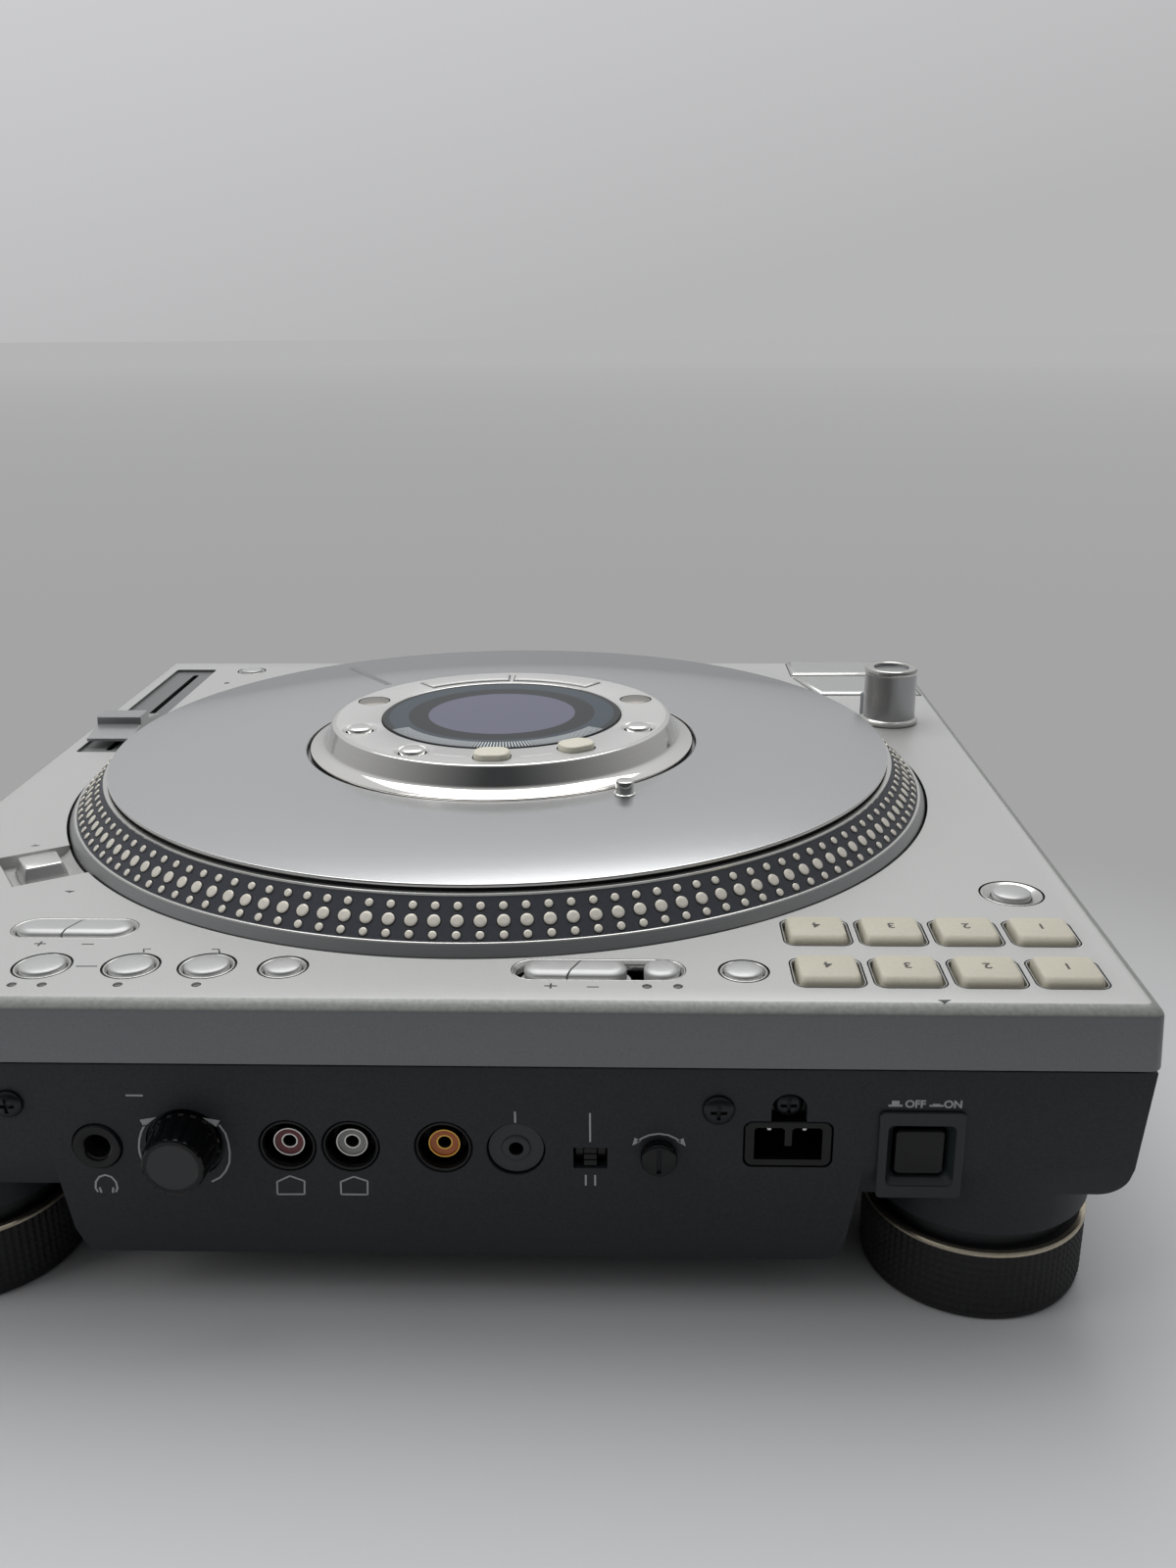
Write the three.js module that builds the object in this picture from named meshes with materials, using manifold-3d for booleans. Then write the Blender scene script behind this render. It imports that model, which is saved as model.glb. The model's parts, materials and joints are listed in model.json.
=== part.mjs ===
// Tabletop disc player for record-style mixing, in millimetres with +Z up.
// The user stands at -Y, the connector panel faces +Y, and the feet rest on z = 0.
// The platter turns about the vertical line x = 0, y = 0 of the inner group.

import * as THREE from 'three';
import { mergeVertices } from 'three/addons/utils/BufferGeometryUtils.js';
import Module from 'manifold-3d';

const wasm = await Module();
wasm.setup();

// Clearances shared by all pieces
const seatGap = 0.3;
const slideGap = 0.35;
const overrun = 1;

// Levels above the table
const deckTop = 94;
const skirtHeight = 16.6;
const shadowGap = 2;
const creaseDrop = 46.3;
const wingDrop = 56.3;
const tubCreaseDrop = 67.5;
const tubDrop = 77.3;
const collarDrop = 67;

// Top cover: plate, bevelled edge, skirt and the round well under the platter
const deckWidth = 352;
const deckDepth = 350;
const deckCorner = 3;
const skirtFlare = 0.8;
const bevelInset = 2.7;
const bevelDrop = 2;
const plateThickness = 2.6;
const skirtWall = 3.2;
const wellMargin = 25.2;
const wellWall = 1.8;
const wellDepth = 13;
const wellFloor = 2;
const wellHoleRadius = 30;

// Base moulding under the cover
const baseWall = 3;
const panelInset = 2;
const sideTaper = 2.8;
const neckInset = 1.6;
const wingCorner = 7;
const undercut = 3.6;
const tubFootGap = 6.5;
const tubTaper = 4.3;
const tubCorner = 5;
const tubShift = -1;
const postRadius = 4.5;

// Feet
const footSideInset = 34;
const footEndInset = 32.5;
const footRadius = 30.8;
const collarRadius = 30.2;
const footHeight = 21.6;
const footEdge = 2.6;
const footRingHeight = 1.3;
const footRingInset = 0.5;
const footNeckRadius = 26.5;
const footHollowRadius = 20;
const footHollowDepth = 3;

// Platter with its sloping band
const platterGap = 0.8;
const lipInset = 1.8;
const lipWidth = 1;
const lipRise = 2.7;
const lipCrown = 0.6;
const bandWidth = 10.2;
const bandTopRise = 12.4;
const topLipWidth = 1.7;
const topLipCrown = 0.7;
const matSeatDrop = 0.8;
const platterPlate = 3.5;
const platterSkirt = 6;
const platterSkirtDrop = 8;
const platterHubRadius = 28;
const platterHubDrop = 9;
const magnetInner = 50;
const magnetOuter = 58;
const magnetDrop = 5.4;

// Slip mat and jog disc that lie on the platter
const discInset = 1.5;
const discTopRise = 15.2;
const discThickness = 1.15;
const discHoleGap = 0.8;
const matThickness = 1;
const matInset = 1.1;
const discEdge = 0.3;
const pinRadius = 2.6;
const pinCollarRadius = 3.4;
const pinHeight = 4.6;
const pinCollarHeight = 0.8;
const pinStemRadius = 1.5;
const pinInset = 6.2;
const pinAngle = 125.8;
const pinBevel = 0.4;

// Fixed post, bearing and motor
const postOuter = 14;
const postBore = 10;
const postFlangeRadius = 42;
const postFlange = 2;
const postRise = 19;
const bearingOuter = 22;
const bearingHeight = 17;
const bearingLip = 1.2;
const stator = {
  inner: 30,
  outer: 64,
  board: 1.6,
  coilRise: 2.6,
  coilInner: 36,
  coilOuter: 60,
  coilWidth: 10.8,
  coils: 9,
};

// Fixed hub with the display
const hubBaseRadius = 68.5;
const hubSoleRise = 12.9;
const hubLipRise = 2.6;
const hubLipBevel = 0.6;
const hubFlare = 8;
const hubTopRise = 24.2;
const hubTopBevel = 0.5;
const hubWall = 2.2;
const hubBossRadius = 20;
const hubSteps = 4;
const glassInset = 17.9;
const glassThickness = 1.7;
const glassRise = 0.2;
const glassEdge = 0.4;
const chromeRadius = 4.3;
const chromeDish = 1.3;
const flatRadius = 5.6;
const controlInset = 8.5;
const chromeAngles = [22.8, 60.2, 160.5];
const flatAngles = [-18.9, -158];
const loopKeys = [{ angle: 91.3, inset: 9.1 }, { angle: 124.2, inset: 10.1 }];
const searchAngles = [-69.3, -109.7];
const searchHalfAngle = 19.3;
const loopLength = 12.6;
const loopWidth = 10.4;
const loopCorner = 4.2;
const loopRise = 2.1;
const searchGlassGap = 3.2;
const searchInset = 4.9;
const searchRise = 0.9;
const searchBevel = 1.2;
const hubShell = 1.3;
const hubLedge = 2;

// Buttons on the deck: insets from two edges, and the radius of the pocket and of the cap
const deckButtons = {
  pad_mode_button: { right: 68.8, rear: 19.8, pocket: 7.7, cap: 5.9 },
  save_button: { right: 92.1, rear: 20.1, pocket: 7.6, cap: 5.8 },
  load_button: { right: 112, rear: 20.4, pocket: 7.6, cap: 5.8 },
  execute_button: { right: 132, rear: 19.9, pocket: 6.6, cap: 4.75 },
  memory_button: { left: 100.9, rear: 19.4, pocket: 6.6, cap: 4.95 },
  record_button: { left: 19.9, rear: 70.6, pocket: 9.2, cap: 5.6 },
  pitch_range_button: { right: 43.3, front: 17.5, pocket: 6.5, cap: 4.85 },
};
const capRise = 0.7;
const capDome = 0.5;
const capBevel = 0.5;
const dishDepth = 0.9;
const dishWidth = 1.3;
const flangeWidth = 0.6;
const flangeThickness = 1;
const stemLength = 5;

// Pads
const padColumns = 4;
const padPitch = 20.2;
const padWidth = 17.9;
const padDepth = 16.3;
const padCorner = 3;
const padSideInset = 19;
const padRearInsets = [43.1, 18.8];
const padRise = 2.1;
const padSideGap = 1.2;
const padEndGap = 0.5;
const padCapCorner = 1.4;
const padSideTaper = 0.3;
const padEndTaper = 1.9;
const padChamfer = 0.5;

// Two-key rockers
const bankInset = 68.65;
const bankRearInset = 43.2;
const bankLength = 35.3;
const bankWidth = 13.2;
const trimInset = 115.6;
const trimLength = 45.2;
const trimRearInset = 19.65;
const trimWidth = 12.5;
const trimPairLength = 27.2;
const trimPairInset = 3.1;
const editInset = 6.3;
const editLength = 9.2;
const editWidth = 10.2;
const keySplit = 0.5;
const keySkew = 2;
const keyRise = 1.2;

// Start and cue keys at the front left
const baySideInset = 3.4;
const bayWidth = 53.3;
const bayFrontInset = 3.8;
const bayLength = 57.7;
const bayBend = 25.4;
const baySlant = 8.5;
const keyLand = 3;
const bigKeyRise = 1.4;
const bigKeyChamfer = 1.4;

// Pitch fader at the right
const faderInset = 16.7;
const faderPocketWidth = 18.6;
const faderFrontInset = 15;
const faderLength = 130;
const faderPocketDepth = 1.2;
const faderSlotShift = -1.3;
const faderSlotWidth = 2.6;
const faderSlotInset = 6;
const faderRest = 103;
const capLength = 36;
const capShift = -0.7;
const capWidth = 17.6;
const capRidgeLength = 9;
const capStemLength = 10;
const capRidgeRise = 8;
const capShelfRise = 4.6;
const capEndRise = 2.7;
const capBendRise = 4.3;
const capUnderRise = 1.6;
const capLean = 0.8;
const capFloorGap = 0.5;

// Direction switch beside the platter
const switchAngle = 32.5;
const switchWellGap = 10.5;
const switchLength = 26.6;
const switchOuter = 10.9;
const switchFloor = 4;
const switchRampShare = 0.3;
const switchWall = 1.8;
const switchCapTop = 10.8;
const switchCapBase = 14;
const switchCapLength = 16;
const switchCapTopLength = 11;
const switchCapRise = 2;
const switchTravel = 4;
const switchStem = 2.4;

// Strobe tower at the left
const towerInset = 24.6;
const towerFrontInset = 100.6;
const towerRadius = 10.3;
const towerFlangeRadius = 11.5;
const towerFlange = 1.6;
const towerHeight = 23;
const towerLip = 1.2;
const towerDishRadius = 6.6;
const towerDish = 1.6;
const towerSpigotRadius = 7;
const lampAngle = 11.8;
const lampWidth = 15.8;
const lampReach = 12.4;
const lampHeight = 9.5;

// Connector panel: places across (x) and drops below the deck (z)
const jackX = 91.3;
const jackDrop = 42.5;
const jackRadius = 6.2;
const jackBore = 3.2;
const jackBoreDepth = 16;
const jackProud = 0.8;
const volumeX = 68.3;
const volumeDrop = 41.5;
const volumeRadius = 9.3;
const volumeTip = 8.1;
const volumeReach = 11;
const volumeRecessRadius = 10.2;
const volumeRecess = 1.2;
const potRadius = 7.8;
const volumeFlutes = 18;
const volumeFlute = 0.5;
const shaftRadius = 3;
const wellJackX = [41.9, 25.6, 1.7];
const wellJackDrop = 42;
const wellJackRadius = 7.5;
const wellJackDepth = 9;
const barrelRadius = 4.2;
const barrelBore = 1.6;
const barrelRecess = 2;
const controlX = -16.9;
const controlDrop = 42.4;
const controlFaceDepth = 1;
const controlBore = 1.9;
const controlRing = 3.6;
const modeX = -35.9;
const modeDrop = 44.6;
const modeWidth = 8.7;
const modeHeight = 6.1;
const modeKnobWidth = 3.8;
const modeTravel = 1.9;
const modeProud = 0.6;
const brakeX = -53.4;
const brakeDrop = 43.4;
const brakeRadius = 4.65;
const brakeReach = 3.2;
const brakeShaft = 1.7;
const brakeSlotWidth = 1.2;
const brakeSlotDepth = 0.9;
const inletInset = 89.9;
const inletDrop = 40;
const inletWidth = 22.2;
const inletHeight = 12.8;
const inletRim = 1.6;
const inletDepth = 15;
const inletPinRadius = 1.2;
const inletPinSpacing = 8.6;
const inletPinLength = 9;
const inletCut = 3;
const inletTabWidth = 11;
const inletTabHeight = 8.4;
const powerInset = 56.5;
const powerDrop = 42.4;
const powerWidth = 21.6;
const powerHeight = 25.1;
const powerProud = 1;
const powerMouth = 17;
const powerMouthDepth = 3;
const powerSleeveWall = 0.8;
const powerKeyWidth = 12.8;
const powerKeyHeight = 13.2;
const powerKeySet = 0.6;
const powerDepth = 18;
const powerTravel = 3;
const powerKeyCorner = 1.4;
const boardPlane = 26;
const boardThickness = 1.6;
const boardEnds = [10.1, 9.7];
const boardHeight = 23;

// Front wall and the disc drive behind it
const slotDrop = 36;
const slotWidth = 128;
const slotHeight = 6.4;
const ejectX = 84;
const ejectWidth = 15;
const ejectHeight = 6;
const ejectProud = 0.9;
const driveWidth = 150;
const driveLength = 152;
const driveHeight = 26;
const driveWall = 3;
const driveTunnel = 9;
const driveGapFront = 0.6;
const driveRollerRadius = 2.4;
const mainBoard = {
  width: 150,
  length: 60,
  lift: 5,
  thickness: 1.6,
  chip: 22,
  chipHeight: 2.4,
};
const transformer = {
  sideInset: 42.7,
  rearInset: 55,
  width: 62,
  length: 50,
  height: 34,
  core: 26,
  coilRadius: 20,
};

// Facets round a full circle
const roundLarge = 40;
const roundHub = 26;
const roundMedium = 18;
const roundSmall = 10;
const roundTiny = 8;

// Steps round the end of a key
const keyEndSteps = 4;

// Levels, outlines and places worked out from the sizes above
const halfWidth = deckWidth / 2;
const halfDepth = deckDepth / 2;
const wellRadius = Math.min(halfWidth, halfDepth) - wellMargin;
const platterRadius = wellRadius - platterGap;
const lipRadius = platterRadius - lipInset;
const bandTopRadius = lipRadius - bandWidth;
const discRadius = bandTopRadius - discInset;
const discHoleRadius = hubBaseRadius + discHoleGap;
const matRadius = discRadius - matInset;
const pinDistance = discHoleRadius + pinInset;
const hubTopRadius = hubBaseRadius - hubFlare;
const glassRadius = hubTopRadius - glassInset;
const controlCircle = hubTopRadius - controlInset;
const searchInner = glassRadius + searchGlassGap;
const searchOuter = hubTopRadius - searchInset;
const hubThickRadius = glassRadius + hubLedge;
const inletX = inletInset - halfWidth;
const powerX = powerInset - halfWidth;
const powerSleeve = powerMouth + 2 * powerSleeveWall;
const footX = halfWidth - footSideInset;
const footY = halfDepth - footEndInset;
const tubHalfWidth = footX - footRadius - tubFootGap;
const skirtBottom = deckTop - skirtHeight;
const baseTop = skirtBottom - shadowGap;
const plateUnder = deckTop - plateThickness;
const wingBottom = deckTop - wingDrop;
const tubBottom = deckTop - tubDrop;
const baseHalfWidth = halfWidth + skirtFlare - neckInset / 4;
const panelY = halfDepth - panelInset;
const footTop = deckTop - collarDrop - seatGap;

const finishes = {
  silver: new THREE.MeshStandardMaterial({ color: 0xb9babb, roughness: 0.45, metalness: 0.6 }),
  aluminium: new THREE.MeshStandardMaterial({ color: 0xc4c5c6, roughness: 0.3, metalness: 0.9 }),
  chrome: new THREE.MeshStandardMaterial({ color: 0xe4e4e6, roughness: 0.06, metalness: 1 }),
  black: new THREE.MeshStandardMaterial({ color: 0x24272a, roughness: 0.6, metalness: 0 }),
  rubber: new THREE.MeshStandardMaterial({ color: 0x1a1b1d, roughness: 0.85, metalness: 0 }),
  felt: new THREE.MeshStandardMaterial({ color: 0x202124, roughness: 0.95, metalness: 0 }),
  cream: new THREE.MeshStandardMaterial({ color: 0xcfc7b2, roughness: 0.5, metalness: 0 }),
  glass: new THREE.MeshStandardMaterial({ color: 0x47505a, roughness: 0.08, metalness: 0 }),
  steel: new THREE.MeshStandardMaterial({ color: 0x9a9c9e, roughness: 0.4, metalness: 0.8 }),
  board: new THREE.MeshStandardMaterial({ color: 0x2f5a3c, roughness: 0.6, metalness: 0 }),
  copper: new THREE.MeshStandardMaterial({ color: 0xa4643a, roughness: 0.4, metalness: 0.7 }),
};

// Turns a closed geometry into a solid for joining and cutting
function solid(geometry) {
  const bare = geometry.clone();
  bare.deleteAttribute('normal');
  bare.deleteAttribute('uv');
  const merged = mergeVertices(bare);
  const corners = merged.attributes.position.array;
  const order = merged.index.array;
  const kept = [];
  let volume = 0;
  const a = new THREE.Vector3();
  const b = new THREE.Vector3();
  const c = new THREE.Vector3();
  for (let i = 0; i < order.length; i += 3) {
    const [p, q, r] = order.slice(i, i + 3);
    if (p === q || q === r || r === p) continue;
    kept.push(p, q, r);
    a.fromArray(corners, p * 3);
    b.fromArray(corners, q * 3);
    c.fromArray(corners, r * 3);
    volume += a.dot(b.cross(c));
  }
  if (volume < 0) {
    for (let i = 0; i < kept.length; i += 3) {
      [kept[i + 1], kept[i + 2]] = [kept[i + 2], kept[i + 1]];
    }
  }
  return new wasm.Manifold(
    new wasm.Mesh({
      numProp: 3,
      vertProperties: new Float32Array(corners),
      triVerts: new Uint32Array(kept),
    })
  );
}

function union(solids) {
  return solids.reduce((sum, next) => sum.add(next));
}

function cut(body, tools) {
  return tools.reduce((rest, tool) => rest.subtract(tool), body);
}

function middle(points) {
  return [0, 1, 2].map((axis) => points.reduce((sum, point) => sum + point[axis], 0) / points.length);
}

// Rows of rings joined into one closed skin, with flat ends
function loft(rings) {
  const count = rings[0].length;
  const places = [];
  const faces = [];
  for (const ring of rings) {
    for (const point of ring) places.push(...point);
  }
  for (let level = 0; level + 1 < rings.length; level += 1) {
    for (let i = 0; i < count; i += 1) {
      const next = (i + 1) % count;
      const low = level * count;
      const high = low + count;
      faces.push(low + i, low + next, high + next);
      faces.push(low + i, high + next, high + i);
    }
  }
  const bottomCentre = rings.length * count;
  const topCentre = bottomCentre + 1;
  const top = (rings.length - 1) * count;
  places.push(...middle(rings[0]), ...middle(rings[rings.length - 1]));
  for (let i = 0; i < count; i += 1) {
    const next = (i + 1) % count;
    faces.push(bottomCentre, next, i);
    faces.push(topCentre, top + i, top + next);
  }
  const geometry = new THREE.BufferGeometry();
  geometry.setAttribute('position', new THREE.Float32BufferAttribute(places, 3));
  geometry.setIndex(faces);
  return geometry;
}

// A ring of points round a rounded rectangle at height z
function roundedRing(width, depth, corner, z, steps = 2) {
  const ring = [];
  const centres = [[1, 1], [-1, 1], [-1, -1], [1, -1]];
  centres.forEach(([sx, sy], quarter) => {
    for (let i = 0; i <= steps; i += 1) {
      const angle = ((quarter + i / steps) * Math.PI) / 2;
      const x = sx * (width / 2 - corner) + corner * Math.cos(angle);
      const y = sy * (depth / 2 - corner) + corner * Math.sin(angle);
      ring.push([x, y, z]);
    }
  });
  return ring;
}

// A rounded block with levels given as [width, depth, corner, z]
function block(levels, steps) {
  return loft(levels.map(([width, depth, corner, z]) => roundedRing(width, depth, corner, z, steps)));
}

function plainBlock(width, depth, low, high, x = 0, y = 0) {
  const geometry = new THREE.BoxGeometry(width, depth, high - low);
  return geometry.translate(x, y, (low + high) / 2);
}

// A profile of [radius, height] pairs turned about the z axis
function turned(profile, segments) {
  const points = profile.map(([radius, z]) => new THREE.Vector2(radius, z));
  return new THREE.LatheGeometry(points, segments).rotateX(Math.PI / 2);
}

function disc(radius, low, high, segments) {
  return turned([[0, low], [radius, low], [radius, high], [0, high]], segments);
}

function ring(inner, outer, low, high, segments) {
  return turned([[inner, low], [outer, low], [outer, high], [inner, high], [inner, low]], segments);
}

// An outline of [x, y] pairs pulled up from low to high
function prism(outline, low, high) {
  const shape = new THREE.Shape(outline.map(([x, y]) => new THREE.Vector2(x, y)));
  const geometry = new THREE.ExtrudeGeometry(shape, { depth: high - low, bevelEnabled: false });
  return geometry.translate(0, 0, low);
}

// Swings a piece made along +z so that it points along +y, at panel height z
function towardsRear(geometry, x, y, z) {
  return geometry.rotateX(-Math.PI / 2).translate(x, y, z);
}

// An outline of [x, z] pairs pulled along y
function prismAlongY(outline, front, rear) {
  const flat = outline.map(([x, z]) => [x, -z]);
  return prism(flat, front, rear).rotateX(-Math.PI / 2);
}

// An outline of [y, z] pairs pulled along x
function prismAlongX(outline, left, right) {
  return prism(outline, left, right).rotateY(Math.PI / 2).rotateX(Math.PI / 2);
}

function arc(centreX, centreY, radius, fromDegrees, toDegrees, steps) {
  const points = [];
  for (let i = 0; i <= steps; i += 1) {
    const angle = THREE.MathUtils.degToRad(fromDegrees + ((toDegrees - fromDegrees) * i) / steps);
    points.push([centreX + radius * Math.cos(angle), centreY + radius * Math.sin(angle)]);
  }
  return points;
}

const player = new THREE.Group();

function asGeometry(body) {
  const data = body.getMesh();
  const geometry = new THREE.BufferGeometry();
  geometry.setAttribute('position', new THREE.BufferAttribute(new Float32Array(data.vertProperties), 3));
  geometry.setIndex(new THREE.BufferAttribute(new Uint32Array(data.triVerts), 1));
  return geometry;
}

function place(name, body, finish, x = 0, y = 0, z = 0) {
  const geometry = asGeometry(body);
  geometry.computeVertexNormals();
  const mesh = new THREE.Mesh(geometry, finish);
  mesh.name = name;
  mesh.position.set(x, y, z);
  player.add(mesh);
}

// Cuts and added stock that the buttons ask of the cover and of the hub
const coverCuts = [];
const coverBosses = [];
const hubCuts = [];

// Round push button: a domed cap with a flange under the panel that it comes through
function roundCap(radius, rise, under, hole) {
  const flange = hole + flangeWidth;
  const low = under - seatGap - flangeThickness;
  return turned([
    [0, low],
    [flange, low],
    [flange, low + flangeThickness],
    [radius, low + flangeThickness],
    [radius, deckTop + rise - capBevel],
    [radius - capBevel, deckTop + rise],
    [0, deckTop + rise + capDome],
  ], roundSmall);
}

// Where something sits that is set in from two edges of the deck
function fromEdges({ left, right, front, rear }) {
  const x = right === undefined ? left - halfWidth : halfWidth - right;
  const y = rear === undefined ? front - halfDepth : halfDepth - rear;
  return [x, y];
}

function roundButton(name, [x, y], pocketRadius, radius) {
  const hole = radius + slideGap;
  coverCuts.push(disc(hole, plateUnder - overrun, deckTop + overrun, roundSmall).translate(x, y, 0));
  const slope = (pocketRadius - hole) / dishDepth;
  coverCuts.push(turned([
    [0, deckTop - dishDepth],
    [hole, deckTop - dishDepth],
    [pocketRadius + slope * overrun, deckTop + overrun],
    [0, deckTop + overrun],
  ], roundSmall).translate(x, y, 0));
  place(name, solid(roundCap(radius, capRise, plateUnder, hole)), finishes.silver, x, y);
}

for (const [name, button] of Object.entries(deckButtons)) {
  roundButton(name, fromEdges(button), button.pocket, button.cap);
}

// Pads: caps with sloped front and rear faces, loose in wide openings
function pad(name, x, y) {
  const wide = padWidth - 2 * padSideGap;
  const deep = padDepth - 2 * padEndGap;
  const topWide = wide - 2 * padSideTaper;
  const topDeep = deep - 2 * padEndTaper;
  const low = plateUnder - seatGap - flangeThickness;
  const cap = solid(block([
    [wide, deep, padCapCorner, low],
    [wide, deep, padCapCorner, deckTop],
    [topWide, topDeep, padCapCorner, deckTop + padRise - padChamfer],
    [topWide - 2 * padChamfer, topDeep - 2 * padChamfer, padCapCorner - padChamfer, deckTop + padRise],
  ]));
  const lipWide = padWidth + 2 * flangeWidth;
  const lipDeep = padDepth + 2 * flangeWidth;
  const lip = solid(block([
    [lipWide, lipDeep, padCorner, low - overrun],
    [lipWide, lipDeep, padCorner, low + flangeThickness],
  ], 1));
  coverCuts.push(block([
    [padWidth, padDepth, padCorner, plateUnder - overrun],
    [padWidth, padDepth, padCorner, deckTop - padChamfer],
    [padWidth + 2 * padChamfer, padDepth + 2 * padChamfer, padCorner + padChamfer, deckTop],
    [padWidth + 2 * padChamfer, padDepth + 2 * padChamfer, padCorner + padChamfer, deckTop + overrun],
  ]).translate(x, y, 0));
  place(name, cap.add(lip), finishes.cream, x, y);
}

for (let i = 0; i < padColumns; i += 1) {
  const left = padSideInset + i * padPitch;
  const [cueRear, sampleRear] = padRearInsets;
  pad(`cue_pad_${i + 1}`, ...fromEdges({ left, rear: cueRear }));
  pad(`sample_pad_${i + 1}`, ...fromEdges({ left, rear: sampleRear }));
}

// Half of a stadium-shaped key pair, split on a skewed line; side is +1 or -1
function pairKey(length, width, side) {
  const end = length / 2;
  const radius = width / 2;
  const rows = [];
  const levels = [
    [0, plateUnder - flangeThickness - seatGap],
    [0, deckTop],
    [capBevel, deckTop + keyRise - capBevel],
    [capBevel * 2 + keyRise, deckTop + keyRise],
  ];
  for (const [inset, z] of levels) {
    const curve = arc(end - radius, 0, radius - inset, -90, 90, keyEndSteps);
    const edge = radius - inset;
    const lean = (keySkew * edge) / radius;
    const outline = [[keySplit / 2 - lean, -edge], ...curve, [keySplit / 2 + lean, edge]];
    rows.push(outline.map(([x, y]) => (side > 0 ? [x, y, z] : [-x, -y, z])));
  }
  return loft(rows);
}

function stadium(length, width, low, high) {
  return block([[length, width, width / 2, low], [length, width, width / 2, high]], keyEndSteps);
}

function stadiumDish(length, width, depth, x, y) {
  const spread = (dishWidth / depth) * overrun;
  coverCuts.push(block([
    [length - 2 * dishWidth, width - 2 * dishWidth, width / 2 - dishWidth, deckTop - depth],
    [length, width, width / 2, deckTop],
    [length + 2 * spread, width + 2 * spread, width / 2 + spread, deckTop + overrun],
  ], keyEndSteps).translate(x, y, 0));
}

function keyPair(names, x, y, holeLength, width) {
  const holeWidth = width - 2 * dishWidth;
  coverCuts.push(stadium(holeLength, holeWidth, plateUnder - overrun, deckTop).translate(x, y, 0));
  names.forEach((name, i) => {
    const key = pairKey(holeLength - 2 * slideGap, holeWidth - 2 * slideGap, i === 0 ? 1 : -1);
    place(name, solid(key), finishes.silver, x, y);
  });
}

const [bankX, bankY] = fromEdges({ right: bankInset, rear: bankRearInset });
stadiumDish(bankLength, bankWidth, dishDepth, bankX, bankY);
keyPair(['bank_up_key', 'bank_down_key'], bankX, bankY, bankLength - 2 * dishWidth, bankWidth);

const [trimRightX, trimY] = fromEdges({ left: trimInset, rear: trimRearInset });
const trimPairX = trimRightX + trimLength - trimPairInset - trimPairLength / 2;
const editX = trimRightX + editInset;
stadiumDish(trimLength, trimWidth, dishDepth, trimRightX + trimLength / 2, trimY);
keyPair(['trim_up_key', 'trim_down_key'], trimPairX, trimY, trimPairLength, trimWidth);

const editCorner = editLength / 2 - slideGap;
const editHole = [editLength + 2 * slideGap, editWidth + 2 * slideGap];
coverCuts.push(block([
  [editHole[0], editHole[1], editLength / 2, plateUnder - overrun],
  [editHole[0], editHole[1], editLength / 2, deckTop],
], keyEndSteps).translate(editX, trimY, 0));
place('edit_button', solid(block([
  [editLength, editWidth, editCorner, plateUnder - seatGap - flangeThickness],
  [editLength, editWidth, editCorner, deckTop + keyRise - capBevel],
  [editLength - 2 * capBevel, editWidth - 2 * capBevel, editCorner - capBevel, deckTop + keyRise],
], keyEndSteps)), finishes.silver, editX, trimY);

// An outline walked anticlockwise, with every side moved inwards
function shrink(outline, inset) {
  const count = outline.length;
  return outline.map((corner, i) => {
    const here = new THREE.Vector2(...corner);
    const before = here.clone().sub(new THREE.Vector2(...outline[(i + count - 1) % count])).normalize();
    const after = new THREE.Vector2(...outline[(i + 1) % count]).sub(here).normalize();
    const reach = inset / before.cross(after);
    return [here.x + (after.x - before.x) * reach, here.y + (after.y - before.y) * reach];
  });
}

// Start and cue keys fill a bay whose platter side bends away
const [bayOuterX, bayFrontY] = fromEdges({ left: baySideInset, front: bayFrontInset });
const bayInnerX = bayOuterX + bayWidth;
const bayRearY = bayFrontY + bayLength;
const bayBendY = bayFrontY + bayBend;
const slantShare = (keyLand / 2) / (bayLength - bayBend);

function bayKey(name, outline) {
  coverCuts.push(prism(outline, plateUnder - overrun, deckTop + overrun));
  const levels = [
    [slideGap, plateUnder - seatGap - flangeThickness],
    [slideGap, deckTop + bigKeyRise - bigKeyChamfer],
    [slideGap + bigKeyChamfer, deckTop + bigKeyRise],
  ];
  const rows = levels.map(([inset, z]) => shrink(outline, inset).map(([x, y]) => [x, y, z]));
  place(name, solid(loft(rows)), finishes.silver);
}

bayKey('cue_key', [
  [bayOuterX, bayFrontY],
  [bayInnerX, bayFrontY],
  [bayInnerX, bayBendY - keyLand / 2],
  [bayOuterX, bayBendY - keyLand / 2],
]);
bayKey('start_key', [
  [bayOuterX, bayBendY + keyLand / 2],
  [bayInnerX - baySlant * slantShare, bayBendY + keyLand / 2],
  [bayInnerX - baySlant, bayRearY],
  [bayOuterX, bayRearY],
]);

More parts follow.
